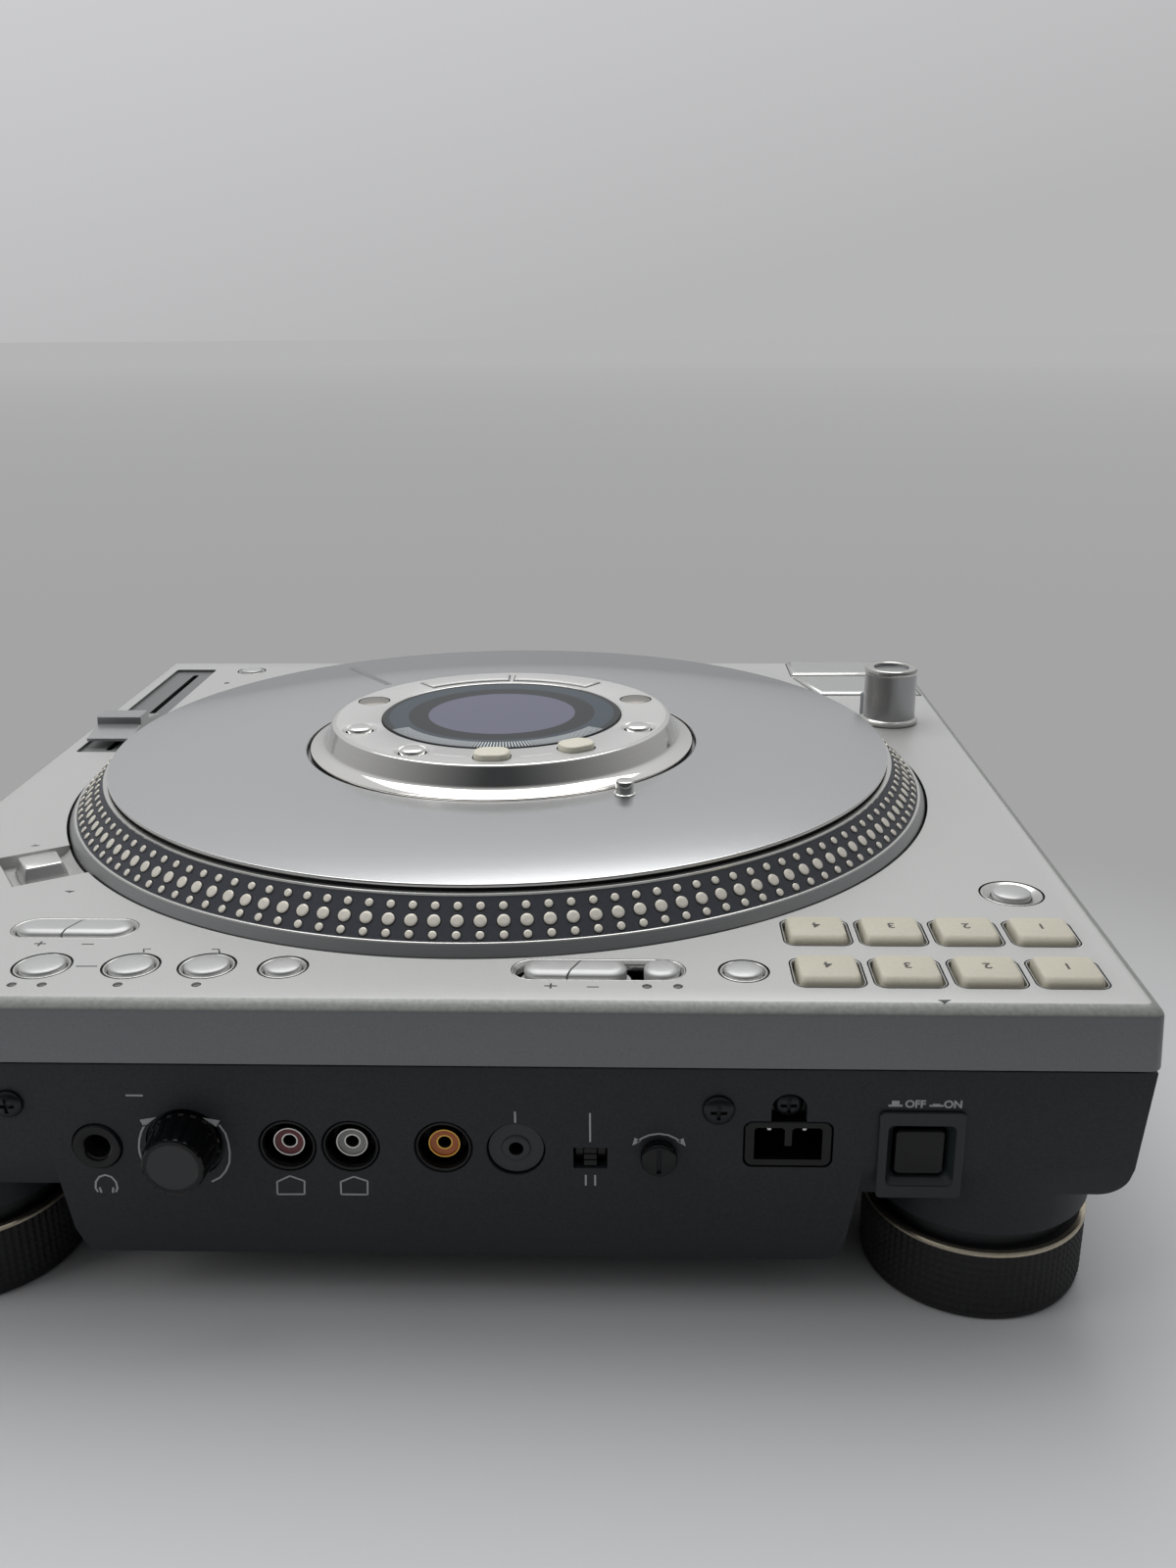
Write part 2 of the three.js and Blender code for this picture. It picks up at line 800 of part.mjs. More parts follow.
// Pitch fader: a long shallow pocket, a slot and a ridged cap that hovers over it on a stem
const [faderX, faderFrontY] = fromEdges({ right: faderInset, front: faderFrontInset });
const faderMidY = faderFrontY + faderLength / 2;
const faderRestY = faderFrontY + faderRest;
coverCuts.push(block([
  [faderPocketWidth, faderLength, faderPocketDepth, deckTop - faderPocketDepth],
  [faderPocketWidth, faderLength, faderPocketDepth, deckTop + overrun],
], 2).translate(faderX, faderMidY, 0));
coverCuts.push(plainBlock(
  faderSlotWidth,
  faderLength - 2 * faderSlotInset,
  plateUnder - overrun,
  deckTop,
  faderX + faderSlotShift,
  faderMidY
));
const faderOutline = [
  [-capLength / 2, deckTop + capUnderRise],
  [capLength / 2, deckTop + capUnderRise],
  [capLength / 2, deckTop + capEndRise],
  [capLength / 4, deckTop + capBendRise],
  [capRidgeLength / 2 + capLean, deckTop + capShelfRise],
  [capRidgeLength / 2, deckTop + capRidgeRise],
  [-capRidgeLength / 2, deckTop + capRidgeRise],
  [-capRidgeLength / 2 - capLean, deckTop + capShelfRise],
  [-capLength / 4, deckTop + capBendRise],
  [-capLength / 2, deckTop + capEndRise],
];
const faderCap = solid(prismAlongX(faderOutline, capShift - capWidth / 2, capShift + capWidth / 2));
const faderStem = solid(plainBlock(
  faderSlotWidth - 2 * slideGap,
  capStemLength,
  plateUnder - stemLength,
  deckTop + capUnderRise + overrun,
  faderSlotShift,
  0
));
place('fader_cap', faderCap.add(faderStem), finishes.silver, faderX, faderRestY);

// Direction switch: a scooped recess that opens to the platter, with a sliding block
const switchTurn = THREE.MathUtils.degToRad(switchAngle);
const switchDistance = wellRadius + switchWellGap;
const switchInner = switchWellGap + overrun;
const switchDeep = deckTop - switchFloor;

function atSwitch(geometry) {
  return geometry
    .translate(switchDistance, 0, 0)
    .rotateZ(switchTurn);
}

coverBosses.push(atSwitch(plainBlock(
  switchOuter + switchInner,
  switchLength + 2 * wellWall,
  switchDeep - wellWall,
  plateUnder + overrun / 2,
  (switchOuter + wellWall - switchInner + wellWall) / 2
)));
const rampStart = -switchInner + (switchInner + switchOuter) * switchRampShare;
const rampWidth = rampStart + switchInner;
const rampCurve = [0, 1, 2, 3, 4].map((step) => {
  const share = step / 4;
  return [rampStart - rampWidth * share, switchDeep + (switchFloor - dishDepth) * share * share];
});
const scoop = [
  [switchOuter - switchWall, switchDeep],
  [switchOuter, deckTop],
  [switchOuter, deckTop + overrun],
  [-switchInner, deckTop + overrun],
  ...rampCurve.reverse(),
];
coverCuts.push(atSwitch(prismAlongY(scoop, -switchLength / 2, switchLength / 2)));
coverCuts.push(atSwitch(plainBlock(
  switchStem + 2 * slideGap,
  switchTravel * 2 + switchStem + 2 * slideGap,
  switchDeep - wellWall - overrun,
  switchDeep + overrun
)));
const switchSeat = switchDeep + capFloorGap;
const switchShape = solid(block([
  [switchCapBase, switchCapLength, switchCapBase / 8, switchSeat],
  [switchCapBase, switchCapLength, switchCapBase / 8, switchSeat + capFloorGap],
  [switchCapTop, switchCapTopLength, switchCapTop / 12, deckTop + switchCapRise],
], 2));
const pegLow = switchDeep - wellWall - flangeThickness;
const switchPeg = solid(plainBlock(switchStem, switchStem, pegLow, switchSeat + overrun));
place('direction_switch', solid(atSwitch(asGeometry(switchShape.add(switchPeg)))), finishes.silver);

// Strobe tower with its lamp block, seated on the deck by a spigot
const [towerX, towerY] = fromEdges({ left: towerInset, front: towerFrontInset });
const towerSeat = deckTop + seatGap;
coverCuts.push(disc(towerSpigotRadius + seatGap, plateUnder - overrun, deckTop + overrun, roundMedium)
  .translate(towerX, towerY, 0));
const towerTop = deckTop + towerHeight;
const towerBody = solid(turned([
  [0, plateUnder],
  [towerSpigotRadius, plateUnder],
  [towerSpigotRadius, towerSeat],
  [towerFlangeRadius, towerSeat],
  [towerFlangeRadius, towerSeat + towerFlange],
  [towerRadius, towerSeat + towerFlange + towerLip / 2],
  [towerRadius, towerTop - towerDish - towerLip],
  [towerRadius + towerLip / 3, towerTop - towerDish],
  [towerRadius - towerLip / 2, towerTop],
  [towerDishRadius + towerLip / 2, towerTop],
  [towerDishRadius, towerTop - towerDish],
  [0, towerTop - towerDish],
], roundMedium));
const lampTurn = THREE.MathUtils.degToRad(lampAngle);
const lampBlock = solid(plainBlock(lampWidth, lampReach, towerSeat, deckTop + lampHeight, 0, -lampReach / 2)
  .rotateZ(lampTurn));
place('strobe_tower', towerBody.add(lampBlock), finishes.silver, towerX, towerY);

// Top cover, cut for everything that comes through it
const hollowWidth = deckWidth - 2 * skirtWall;
const hollowDepth = deckDepth - 2 * skirtWall;
const coverShell = solid(block([
  [deckWidth + 2 * skirtFlare, deckDepth + 2 * skirtFlare, deckCorner + skirtFlare, skirtBottom],
  [deckWidth, deckDepth, deckCorner, deckTop - bevelDrop],
  [deckWidth - 2 * bevelInset, deckDepth - 2 * bevelInset, deckCorner / 2, deckTop],
])).subtract(solid(plainBlock(hollowWidth, hollowDepth, skirtBottom - overrun, plateUnder)));
const wellBottom = deckTop - wellDepth - wellFloor;
const well = solid(disc(wellRadius + wellWall, wellBottom, plateUnder + overrun / 2, roundLarge));
const wellSpace = solid(disc(wellRadius, deckTop - wellDepth, deckTop + overrun, roundLarge));
const wellHole = solid(disc(wellHoleRadius, wellBottom - overrun, deckTop, roundMedium));
const coverBody = union([coverShell, well, ...coverBosses.map(solid)]);
const cover = cut(coverBody, [wellSpace, wellHole, ...coverCuts.map(solid)]);
place('top_cover', cover, finishes.silver);

// Base moulding: wide wings, a deeper tub between the feet, and collars for the feet
function trough({ halfTop, halfBottom, corner, top, crease, bottom, x = 0 }, inset) {
  const reach = panelY - inset;
  const low = bottom + inset;
  const round = corner - Math.min(inset, corner / 2);
  const across = [
    [-halfTop + inset, top],
    ...arc(-halfBottom + inset + round, low + round, round, 180, 270, 3),
    ...arc(halfBottom - inset - round, low + round, round, 270, 360, 3),
    [halfTop - inset, top],
  ];
  const bend = crease - inset;
  const along = [
    [-reach, top],
    [-reach, bend],
    [-reach + undercut, low],
    [reach - undercut, low],
    [reach, bend],
    [reach, top],
  ];
  const width = halfTop + overrun;
  const lengthwise = solid(prismAlongY(across, -reach - overrun, reach + overrun));
  return lengthwise.intersect(solid(prismAlongX(along, -width, width))).translate([x, 0, 0]);
}

const wings = {
  halfTop: baseHalfWidth,
  halfBottom: baseHalfWidth - sideTaper,
  corner: wingCorner,
  top: baseTop,
  crease: deckTop - creaseDrop,
  bottom: wingBottom,
};
const tub = {
  halfTop: tubHalfWidth,
  halfBottom: tubHalfWidth - tubTaper,
  corner: tubCorner,
  top: deckTop - creaseDrop + overrun,
  crease: deckTop - tubCreaseDrop,
  bottom: tubBottom,
  x: tubShift,
};
const neckTop = skirtBottom - seatGap;
const neck = solid(plainBlock(
  2 * (baseHalfWidth - neckInset),
  2 * (panelY - neckInset),
  baseTop - overrun,
  neckTop
));
const neckHollow = solid(plainBlock(
  2 * (baseHalfWidth - baseWall),
  2 * (panelY - baseWall),
  baseTop - 2 * overrun,
  neckTop + overrun
));
const collarBottom = deckTop - collarDrop;
const footPlaces = [
  ['front_left_foot', -footX, -footY],
  ['front_right_foot', footX, -footY],
  ['rear_left_foot', -footX, footY],
  ['rear_right_foot', footX, footY],
];
const collars = footPlaces.map(([, x, y]) => {
  const collar = disc(collarRadius, collarBottom, wingBottom + baseWall / 2, roundMedium);
  return solid(collar.translate(x, y, 0));
});

const baseCuts = [];
const tubFloor = tubBottom + baseWall;
const slotLevel = deckTop - slotDrop;
const driveBottom = slotLevel - driveHeight / 2;
const driveFront = -panelY + baseWall + driveGapFront;
const driveMidY = driveFront + driveLength / 2;
const drivePosts = [];
for (const sx of [-1, 1]) {
  for (const sy of [-1, 1]) {
    const x = sx * (driveWidth / 2 - 2 * postRadius);
    const y = driveMidY + sy * (driveLength / 2 - 2 * postRadius);
    const top = driveBottom - seatGap;
    drivePosts.push(disc(postRadius, tubFloor - overrun, top, roundTiny).translate(x, y, 0));
  }
}
const boardMidY = driveFront + driveLength + mainBoard.length / 2 + baseWall;
const boardPosts = [];
for (const sx of [-1, 1]) {
  for (const sy of [-1, 1]) {
    const x = sx * (mainBoard.width / 2 - 2 * postRadius);
    const y = boardMidY + sy * (mainBoard.length / 2 - 2 * postRadius);
    const top = tubFloor + mainBoard.lift - seatGap;
    boardPosts.push(disc(postRadius, tubFloor - overrun, top, roundTiny).translate(x, y, 0));
  }
}

// Everything that passes through a wall is cut by one of these
function wallBox(width, height, x, z, front, rear) {
  return plainBlock(width, rear - front, z - height / 2, z + height / 2, x, (front + rear) / 2);
}

const wallInside = panelY - baseWall - undercut;
const wallOutside = panelY + overrun;

function rearHole(radius, x, drop, from = wallInside, segments = roundSmall) {
  const z = deckTop - drop;
  baseCuts.push(towardsRear(disc(radius, from, wallOutside, segments), x, 0, z));
}

rearHole(jackRadius + seatGap, jackX, jackDrop);
rearHole(shaftRadius + slideGap, volumeX, volumeDrop);
rearHole(volumeRecessRadius, volumeX, volumeDrop, panelY - volumeRecess, roundMedium);
for (const x of wellJackX) rearHole(wellJackRadius, x, wellJackDrop, wallInside);
rearHole(wellJackRadius, controlX, controlDrop, wallInside);
rearHole(brakeShaft + slideGap, brakeX, brakeDrop, wallInside, roundTiny);
baseCuts.push(wallBox(modeWidth, modeHeight, modeX, deckTop - modeDrop, wallInside, wallOutside));
baseCuts.push(wallBox(
  inletWidth + 2 * seatGap,
  inletHeight + 2 * seatGap,
  inletX,
  deckTop - inletDrop,
  wallInside,
  wallOutside
));
baseCuts.push(wallBox(
  powerSleeve + 2 * seatGap,
  powerSleeve + 2 * seatGap,
  powerX,
  deckTop - powerDrop,
  wallInside,
  wallOutside
));
baseCuts.push(wallBox(slotWidth, slotHeight, 0, slotLevel, -wallOutside, -wallInside));
baseCuts.push(wallBox(
  ejectWidth + 2 * slideGap,
  ejectHeight + 2 * slideGap,
  ejectX,
  slotLevel,
  -wallOutside,
  -wallInside
));

const baseSkin = union([trough(wings, 0), trough(tub, 0), ...collars, neck]);
const innerWings = trough({ ...wings, top: baseTop + overrun }, baseWall);
const innerTub = trough({ ...tub, top: tub.top + overrun }, baseWall);
const hollowBase = cut(baseSkin, [innerWings, innerTub, neckHollow]);
const baseBody = union([hollowBase, ...drivePosts.map(solid), ...boardPosts.map(solid)]);
const base = cut(baseBody, baseCuts.map(solid));
place('base_tub', base, finishes.black);

// Feet: a broad round body with a hollow sole, a stepped ring and a narrow neck under the collar
const footProfile = [
  [0, footHollowDepth],
  [footHollowRadius, footHollowDepth],
  [footHollowRadius, 0],
  [footRadius - footEdge, 0],
  [footRadius, footEdge],
  [footRadius, footHeight - footRingHeight],
  [footRadius - footRingInset, footHeight],
  [footNeckRadius, footHeight],
  [footNeckRadius, footTop],
  [0, footTop],
];
for (const [name, x, y] of footPlaces) {
  place(name, solid(turned(footProfile, roundMedium)), finishes.rubber, x, y);
}

// Centre post, bearing and stator
const flangeBottom = deckTop - wellDepth + seatGap;
const flangeTop = flangeBottom + postFlange;
const postTop = deckTop + postRise;
place('centre_post', solid(turned([
  [postBore, flangeBottom],
  [postFlangeRadius, flangeBottom],
  [postFlangeRadius, flangeTop],
  [postOuter, flangeTop],
  [postOuter, postTop],
  [postBore, postTop],
  [postBore, flangeBottom],
], roundMedium)), finishes.steel);

const bearingBottom = flangeTop + seatGap;
place('platter_bearing', solid(turned([
  [postOuter + slideGap, bearingBottom],
  [bearingOuter, bearingBottom],
  [bearingOuter, bearingBottom + bearingHeight - bearingLip],
  [bearingOuter - bearingLip, bearingBottom + bearingHeight],
  [postOuter + slideGap, bearingBottom + bearingHeight],
  [postOuter + slideGap, bearingBottom],
], roundMedium)), finishes.steel);

const statorTop = bearingBottom + stator.board;
const statorBoard = solid(ring(stator.inner, stator.outer, bearingBottom, statorTop, roundMedium));
const coilLength = stator.coilOuter - stator.coilInner;
const coils = [];
for (let i = 0; i < stator.coils; i += 1) {
  const coil = plainBlock(
    coilLength,
    stator.coilWidth,
    bearingBottom + stator.board / 2,
    statorTop + stator.coilRise,
    (stator.coilInner + stator.coilOuter) / 2
  );
  coil.rotateZ((i * 2 * Math.PI) / stator.coils);
  coils.push(solid(coil));
}
place('motor_stator', union([statorBoard, ...coils]), finishes.copper);

// Platter: a turned casting with a sloping band, a rim that hangs in the well and the rotor magnet
const mirror = deckTop + bandTopRise;
const matSeat = mirror + topLipCrown - matSeatDrop;
const plateLow = matSeat - platterPlate;
const lipTop = deckTop + lipRise + lipCrown;
const bandFoot = lipRadius - lipWidth;
const rimUnder = deckTop - platterSkirtDrop;
const hubUnder = deckTop - platterHubDrop;
const platterBody = solid(turned([
  [bearingOuter + slideGap, hubUnder],
  [platterHubRadius, hubUnder],
  [platterHubRadius, plateLow],
  [magnetInner, plateLow],
  [magnetInner, deckTop - magnetDrop],
  [magnetOuter, deckTop - magnetDrop],
  [magnetOuter, plateLow],
  [bandTopRadius - platterSkirt, plateLow],
  [platterRadius - platterSkirt, deckTop],
  [platterRadius - platterSkirt, rimUnder],
  [platterRadius, rimUnder],
  [platterRadius, deckTop],
  [lipRadius, deckTop + lipRise],
  [lipRadius - lipWidth / 2, lipTop],
  [bandFoot, lipTop],
  [bandTopRadius, mirror],
  [bandTopRadius, mirror + topLipCrown],
  [bandTopRadius - topLipWidth, mirror + topLipCrown],
  [bandTopRadius - topLipWidth, matSeat],
  [bearingOuter + slideGap, matSeat],
  [bearingOuter + slideGap, hubUnder],
], roundLarge));
place('platter', platterBody, finishes.aluminium);

const matLow = matSeat + seatGap;
const slipMat = ring(discHoleRadius, matRadius, matLow, matLow + matThickness, roundLarge);
place('slip_mat', solid(slipMat), finishes.felt);

const discTop = deckTop + discTopRise;
const discLow = discTop - discThickness;
const pinTurn = THREE.MathUtils.degToRad(pinAngle);
const pinX = pinDistance * Math.cos(pinTurn);
const pinY = pinDistance * Math.sin(pinTurn);
const pinHole = disc(pinStemRadius + slideGap, discLow - overrun, discTop + overrun, roundTiny)
  .translate(pinX, pinY, 0);
place('jog_disc', solid(turned([
  [discHoleRadius, discLow],
  [discRadius, discLow],
  [discRadius, discTop - discEdge],
  [discRadius - discEdge, discTop],
  [discHoleRadius, discTop],
  [discHoleRadius, discLow],
], roundLarge)).subtract(solid(pinHole)), finishes.aluminium);
const pinSeat = discTop + seatGap;
place('finger_pin', solid(turned([
  [0, discLow],
  [pinStemRadius, discLow],
  [pinStemRadius, pinSeat],
  [pinCollarRadius, pinSeat],
  [pinCollarRadius, pinSeat + pinCollarHeight],
  [pinRadius, pinSeat + pinCollarHeight],
  [pinRadius, discTop + pinHeight - pinBevel],
  [pinRadius - pinBevel, discTop + pinHeight],
  [0, discTop + pinHeight],
], roundSmall)), finishes.chrome, pinX, pinY);

// Hub: a flared chrome rim round a flat face with the display and its buttons
const hubSole = deckTop + hubSoleRise;
const hubTop = deckTop + hubTopRise;
const hubUnderTop = hubTop - hubWall;
const glassSeat = hubTop + glassRise - glassThickness - seatGap;
const hubLip = hubSole + hubLipRise;
const flare = [];
for (let i = 0; i <= hubSteps; i += 1) {
  const turn = ((i / hubSteps) * Math.PI) / 2;
  const spread = hubBaseRadius - hubLipBevel - hubTopRadius;
  const rise = hubTop - hubTopBevel - hubLip;
  flare.push([hubBaseRadius - hubLipBevel - spread * Math.sin(turn), hubLip + rise * (1 - Math.cos(turn))]);
}
const glassHole = glassRadius + seatGap;
const socket = postOuter + seatGap;
const hubBody = solid(turned([
  [socket, hubSole],
  [hubBossRadius, hubSole],
  [hubBossRadius, glassSeat - hubWall],
  [hubThickRadius, glassSeat - hubWall],
  [hubThickRadius, hubUnderTop],
  [hubTopRadius - hubShell, hubUnderTop],
  [hubTopRadius - hubShell, hubTop - 2 * hubWall],
  [hubBaseRadius - 2 * hubShell, hubLip - hubLipBevel],
  [hubBaseRadius - 2 * hubShell, hubSole],
  [hubBaseRadius, hubSole],
  [hubBaseRadius, hubLip - hubLipBevel],
  ...flare,
  [hubTopRadius - hubTopBevel, hubTop],
  [glassHole, hubTop],
  [glassHole, glassSeat],
  [0, glassSeat],
  [0, postTop + seatGap],
  [socket, postTop + seatGap],
  [socket, hubSole],
], roundHub));

function onCircle(radius, degrees) {
  const angle = THREE.MathUtils.degToRad(degrees);
  return [radius * Math.cos(angle), radius * Math.sin(angle)];
}

const hubRiseShift = hubTop - deckTop;
chromeAngles.forEach((degrees, i) => {
  const [x, y] = onCircle(controlCircle, degrees);
  const hole = chromeRadius + slideGap;
  hubCuts.push(disc(hole, hubUnderTop - overrun, hubTop + overrun, roundSmall).translate(x, y, 0));
  hubCuts.push(turned([
    [0, hubTop - chromeDish / 2],
    [hole, hubTop - chromeDish / 2],
    [hole + chromeDish, hubTop],
    [hole + chromeDish, hubTop + overrun],
    [0, hubTop + overrun],
  ], roundSmall).translate(x, y, 0));
  const cap = roundCap(chromeRadius, capRise, hubUnderTop - hubRiseShift, hole);
  place(`loop_button_${i + 1}`, solid(cap), finishes.chrome, x, y, hubRiseShift);
});

flatAngles.forEach((degrees, i) => {
  const [x, y] = onCircle(controlCircle, degrees);
  const hole = flatRadius + slideGap;
  hubCuts.push(disc(hole, hubUnderTop - overrun, hubTop + overrun, roundSmall).translate(x, y, 0));
  const low = hubUnderTop - seatGap - flangeThickness;
  const cap = turned([
    [0, low],
    [hole + flangeWidth, low],
    [hole + flangeWidth, low + flangeThickness],
    [flatRadius, low + flangeThickness],
    [flatRadius, hubTop],
    [0, hubTop],
  ], roundSmall);
  place(['right_hub_key', 'left_hub_key'][i], solid(cap), finishes.silver, x, y);
});

loopKeys.forEach(({ angle, inset }, i) => {
  const turn = THREE.MathUtils.degToRad(angle);
  const out = hubTopRadius - inset;
  const low = hubUnderTop - seatGap - flangeThickness;
  const top = hubTop + loopRise;
  const wide = loopWidth - 2 * slideGap;
  const long = loopLength - 2 * slideGap;
  const lip = 2 * flangeWidth;
  const cap = solid(block([
    [wide, long, loopCorner, low + flangeThickness / 2],
    [wide, long, loopCorner, top - capBevel * 2],
    [wide - 2 * capBevel, long - 2 * capBevel, loopCorner - capBevel, top - capBevel / 2],
    [wide - 6 * capBevel, long - 6 * capBevel, loopCorner - 2 * capBevel, top],
  ], 2));
  const flange = solid(block([
    [loopWidth + lip, loopLength + lip, loopCorner, low],
    [loopWidth + lip, loopLength + lip, loopCorner, low + flangeThickness],
  ], 1));
  const hole = block([
    [loopWidth, loopLength, loopCorner, hubUnderTop - overrun],
    [loopWidth, loopLength, loopCorner, hubTop + overrun],
  ], 2);
  hubCuts.push(hole.translate(out, 0, 0).rotateZ(turn));
  const shape = asGeometry(cap.add(flange)).translate(out, 0, 0).rotateZ(turn);
  place(['out_button', 'in_button'][i], solid(shape), finishes.cream);
});

// An arc-shaped key between two radii
function sector(inner, outer, from, to, inset, z) {
  const trim = THREE.MathUtils.radToDeg(inset / outer);
  const low = from + trim;
  const high = to - trim;
  const outside = arc(0, 0, outer - inset, low, high, keyEndSteps);
  const inside = arc(0, 0, inner + inset, high, low, keyEndSteps);
  return [...outside, ...inside].map(([x, y]) => [x, y, z]);
}

searchAngles.forEach((degrees, i) => {
  const from = degrees - searchHalfAngle;
  const to = degrees + searchHalfAngle;
  const low = hubUnderTop - seatGap - flangeThickness;
  const top = hubTop + searchRise;
  const cap = solid(loft([
    sector(searchInner, searchOuter, from, to, slideGap, low),
    sector(searchInner, searchOuter, from, to, slideGap, top - searchBevel / 2),
    sector(searchInner, searchOuter, from, to, slideGap + searchBevel, top),
  ]));
  const flange = solid(loft([
    sector(searchInner, searchOuter, from, to, -flangeWidth, low - flangeThickness),
    sector(searchInner, searchOuter, from, to, -flangeWidth, low + flangeThickness / 2),
  ]));
  hubCuts.push(loft([
    sector(searchInner, searchOuter, from, to, 0, hubUnderTop - overrun),
    sector(searchInner, searchOuter, from, to, 0, hubTop + overrun),
  ]));
  place(['right_search_key', 'left_search_key'][i], solid(asGeometry(cap.add(flange))), finishes.chrome);
});

place('hub_housing', cut(hubBody, hubCuts.map(solid)), finishes.chrome);
place('display_glass', solid(turned([
  [0, glassSeat + seatGap],
  [glassRadius, glassSeat + seatGap],
  [glassRadius, hubTop + glassRise - glassEdge],
  [glassRadius - glassEdge, hubTop + glassRise],
  [0, hubTop + glassRise],
], roundHub)), finishes.glass);

// Connector board with its jacks, seen through round wells in the panel
const boardRear = panelY - boardPlane;
const boardFront = boardRear - boardThickness;
const boardRight = jackX + boardEnds[1];
const boardLeft = controlX - boardEnds[0];
const boardMiddle = (boardLeft + boardRight) / 2;
const boardWidth = boardRight - boardLeft;
const boardLevel = wingBottom + baseWall + seatGap + boardHeight / 2;
const jackParts = [solid(wallBox(
  boardWidth,
  boardHeight,
  boardMiddle,
  boardLevel,
  boardFront,
  boardRear
))];
const buried = boardRear - boardThickness / 2;
for (const x of wellJackX) {
  const cup = wellJackRadius - seatGap;
  const floor = panelY - wellJackDepth;
  jackParts.push(solid(towardsRear(turned([
    [0, buried],
    [cup, buried],
    [cup, panelY - seatGap],
    [cup - jackProud, panelY - seatGap],
    [cup - jackProud, floor],
    [barrelRadius, floor],
    [barrelRadius, panelY - barrelRecess],
    [barrelBore, panelY - barrelRecess],
    [barrelBore, floor],
    [0, floor],
  ], roundSmall), x, 0, deckTop - wellJackDrop)));
}
const controlCup = wellJackRadius - seatGap;
jackParts.push(solid(towardsRear(turned([
  [0, buried],
  [controlCup, buried],
  [controlCup, panelY - controlFaceDepth],
  [controlRing, panelY - controlFaceDepth],
  [controlRing, panelY - controlFaceDepth / 2],
  [controlBore, panelY - controlFaceDepth / 2],
  [controlBore, panelY - wellJackDepth],
  [0, panelY - wellJackDepth],
], roundSmall), controlX, 0, deckTop - controlDrop)));
jackParts.push(solid(towardsRear(turned([
  [0, buried],
  [jackRadius, buried],
  [jackRadius, panelY + jackProud],
  [jackBore + jackProud, panelY + jackProud],
  [jackBore, panelY],
  [jackBore, panelY - jackBoreDepth],
  [0, panelY - jackBoreDepth],
], roundSmall), jackX, 0, deckTop - jackDrop)));
const potFront = panelY - baseWall - seatGap;
const shaftEnd = potFront - baseWall;
jackParts.push(solid(towardsRear(turned([
  [0, buried],
  [potRadius, buried],
  [potRadius, potFront],
  [shaftRadius + slideGap, potFront],
  [shaftRadius + slideGap, shaftEnd - seatGap],
  [0, shaftEnd - seatGap],
], roundSmall), volumeX, 0, deckTop - volumeDrop)));
place('jack_board', union(jackParts), finishes.black);

// Volume knob with flutes, on a shaft through the panel
function flutedRing(radius, depth, count, z) {
  const points = [];
  const steps = count * 2;
  for (let i = 0; i < steps; i += 1) {
    const angle = (i / steps) * 2 * Math.PI;
    const r = radius - (depth * (1 - Math.cos(angle * count))) / 2;
    points.push([r * Math.cos(angle), r * Math.sin(angle), z]);
  }
  return points;
}

const knobLow = panelY - volumeRecess + seatGap;
const knobHigh = panelY + volumeReach;
const knobGrip = loft([
  flutedRing(volumeRadius, volumeFlute, volumeFlutes, knobLow),
  flutedRing(volumeTip, volumeFlute, volumeFlutes, knobHigh - capBevel),
  flutedRing(volumeTip - capBevel, volumeFlute / 2, volumeFlutes, knobHigh),
]);
const knobShaft = disc(shaftRadius, shaftEnd, knobLow + overrun, roundSmall);
const volumeZ = deckTop - volumeDrop;
place('volume_knob', union([
  solid(towardsRear(knobGrip, volumeX, 0, volumeZ)),
  solid(towardsRear(knobShaft, volumeX, 0, volumeZ)),
]), finishes.black);

// Brake trimmer with a screwdriver slot
const brakeZ = deckTop - brakeDrop;
const brakeLow = panelY + seatGap;
const brakeHigh = panelY + brakeReach;
const brakeHead = solid(towardsRear(turned([
  [0, wallInside],
  [brakeShaft, wallInside],
  [brakeShaft, brakeLow],
  [brakeRadius, brakeLow],
  [brakeRadius, brakeHigh - capBevel],
  [brakeRadius - capBevel, brakeHigh],
  [0, brakeHigh],
], roundSmall), brakeX, 0, brakeZ));
const brakeSlot = solid(wallBox(
  brakeSlotWidth,
  2 * brakeRadius + overrun,
  brakeX,
  brakeZ,
  brakeHigh - brakeSlotDepth,
  brakeHigh + overrun
));
place('brake_knob', brakeHead.subtract(brakeSlot), finishes.black);

// Mode slider in its window
const modeZ = deckTop - modeDrop;
const modeKnob = solid(wallBox(
  modeKnobWidth,
  modeHeight - 2 * slideGap,
  modeX,
  modeZ,
  wallInside,
  panelY - modeProud
));
const modePlate = solid(wallBox(
  modeKnobWidth + 2 * modeTravel,
  modeHeight + baseWall,
  modeX,
  modeZ,
  panelY - 2 * baseWall,
  panelY - baseWall - seatGap
));
place('mode_slider', modeKnob.add(modePlate), finishes.black);

// Mains inlet: a body through the panel with two pins in its mouth
const inletZ = deckTop - inletDrop;
const inletFront = panelY - inletDepth - inletRim;
const inletBody = solid(wallBox(inletWidth, inletHeight, inletX, inletZ, inletFront, panelY));
const inletTab = solid(wallBox(
  inletTabWidth,
  inletTabHeight + inletHeight / 2,
  inletX,
  inletZ + (inletTabHeight + inletHeight / 2) / 2,
  panelY - baseWall - 2 * inletRim,
  panelY - baseWall - seatGap
));
const mouth = [
  [-inletWidth / 2 + inletRim, inletHeight / 2 - inletRim],
  [-inletWidth / 2 + inletRim, -inletHeight / 2 + inletRim + inletCut],
  [-inletWidth / 2 + inletRim + inletCut, -inletHeight / 2 + inletRim],
  [inletWidth / 2 - inletRim - inletCut, -inletHeight / 2 + inletRim],
  [inletWidth / 2 - inletRim, -inletHeight / 2 + inletRim + inletCut],
  [inletWidth / 2 - inletRim, inletHeight / 2 - inletRim],
].map(([x, z]) => [x + inletX, z + inletZ]);
const inletMouth = solid(prismAlongY(mouth, panelY - inletDepth, panelY + overrun));
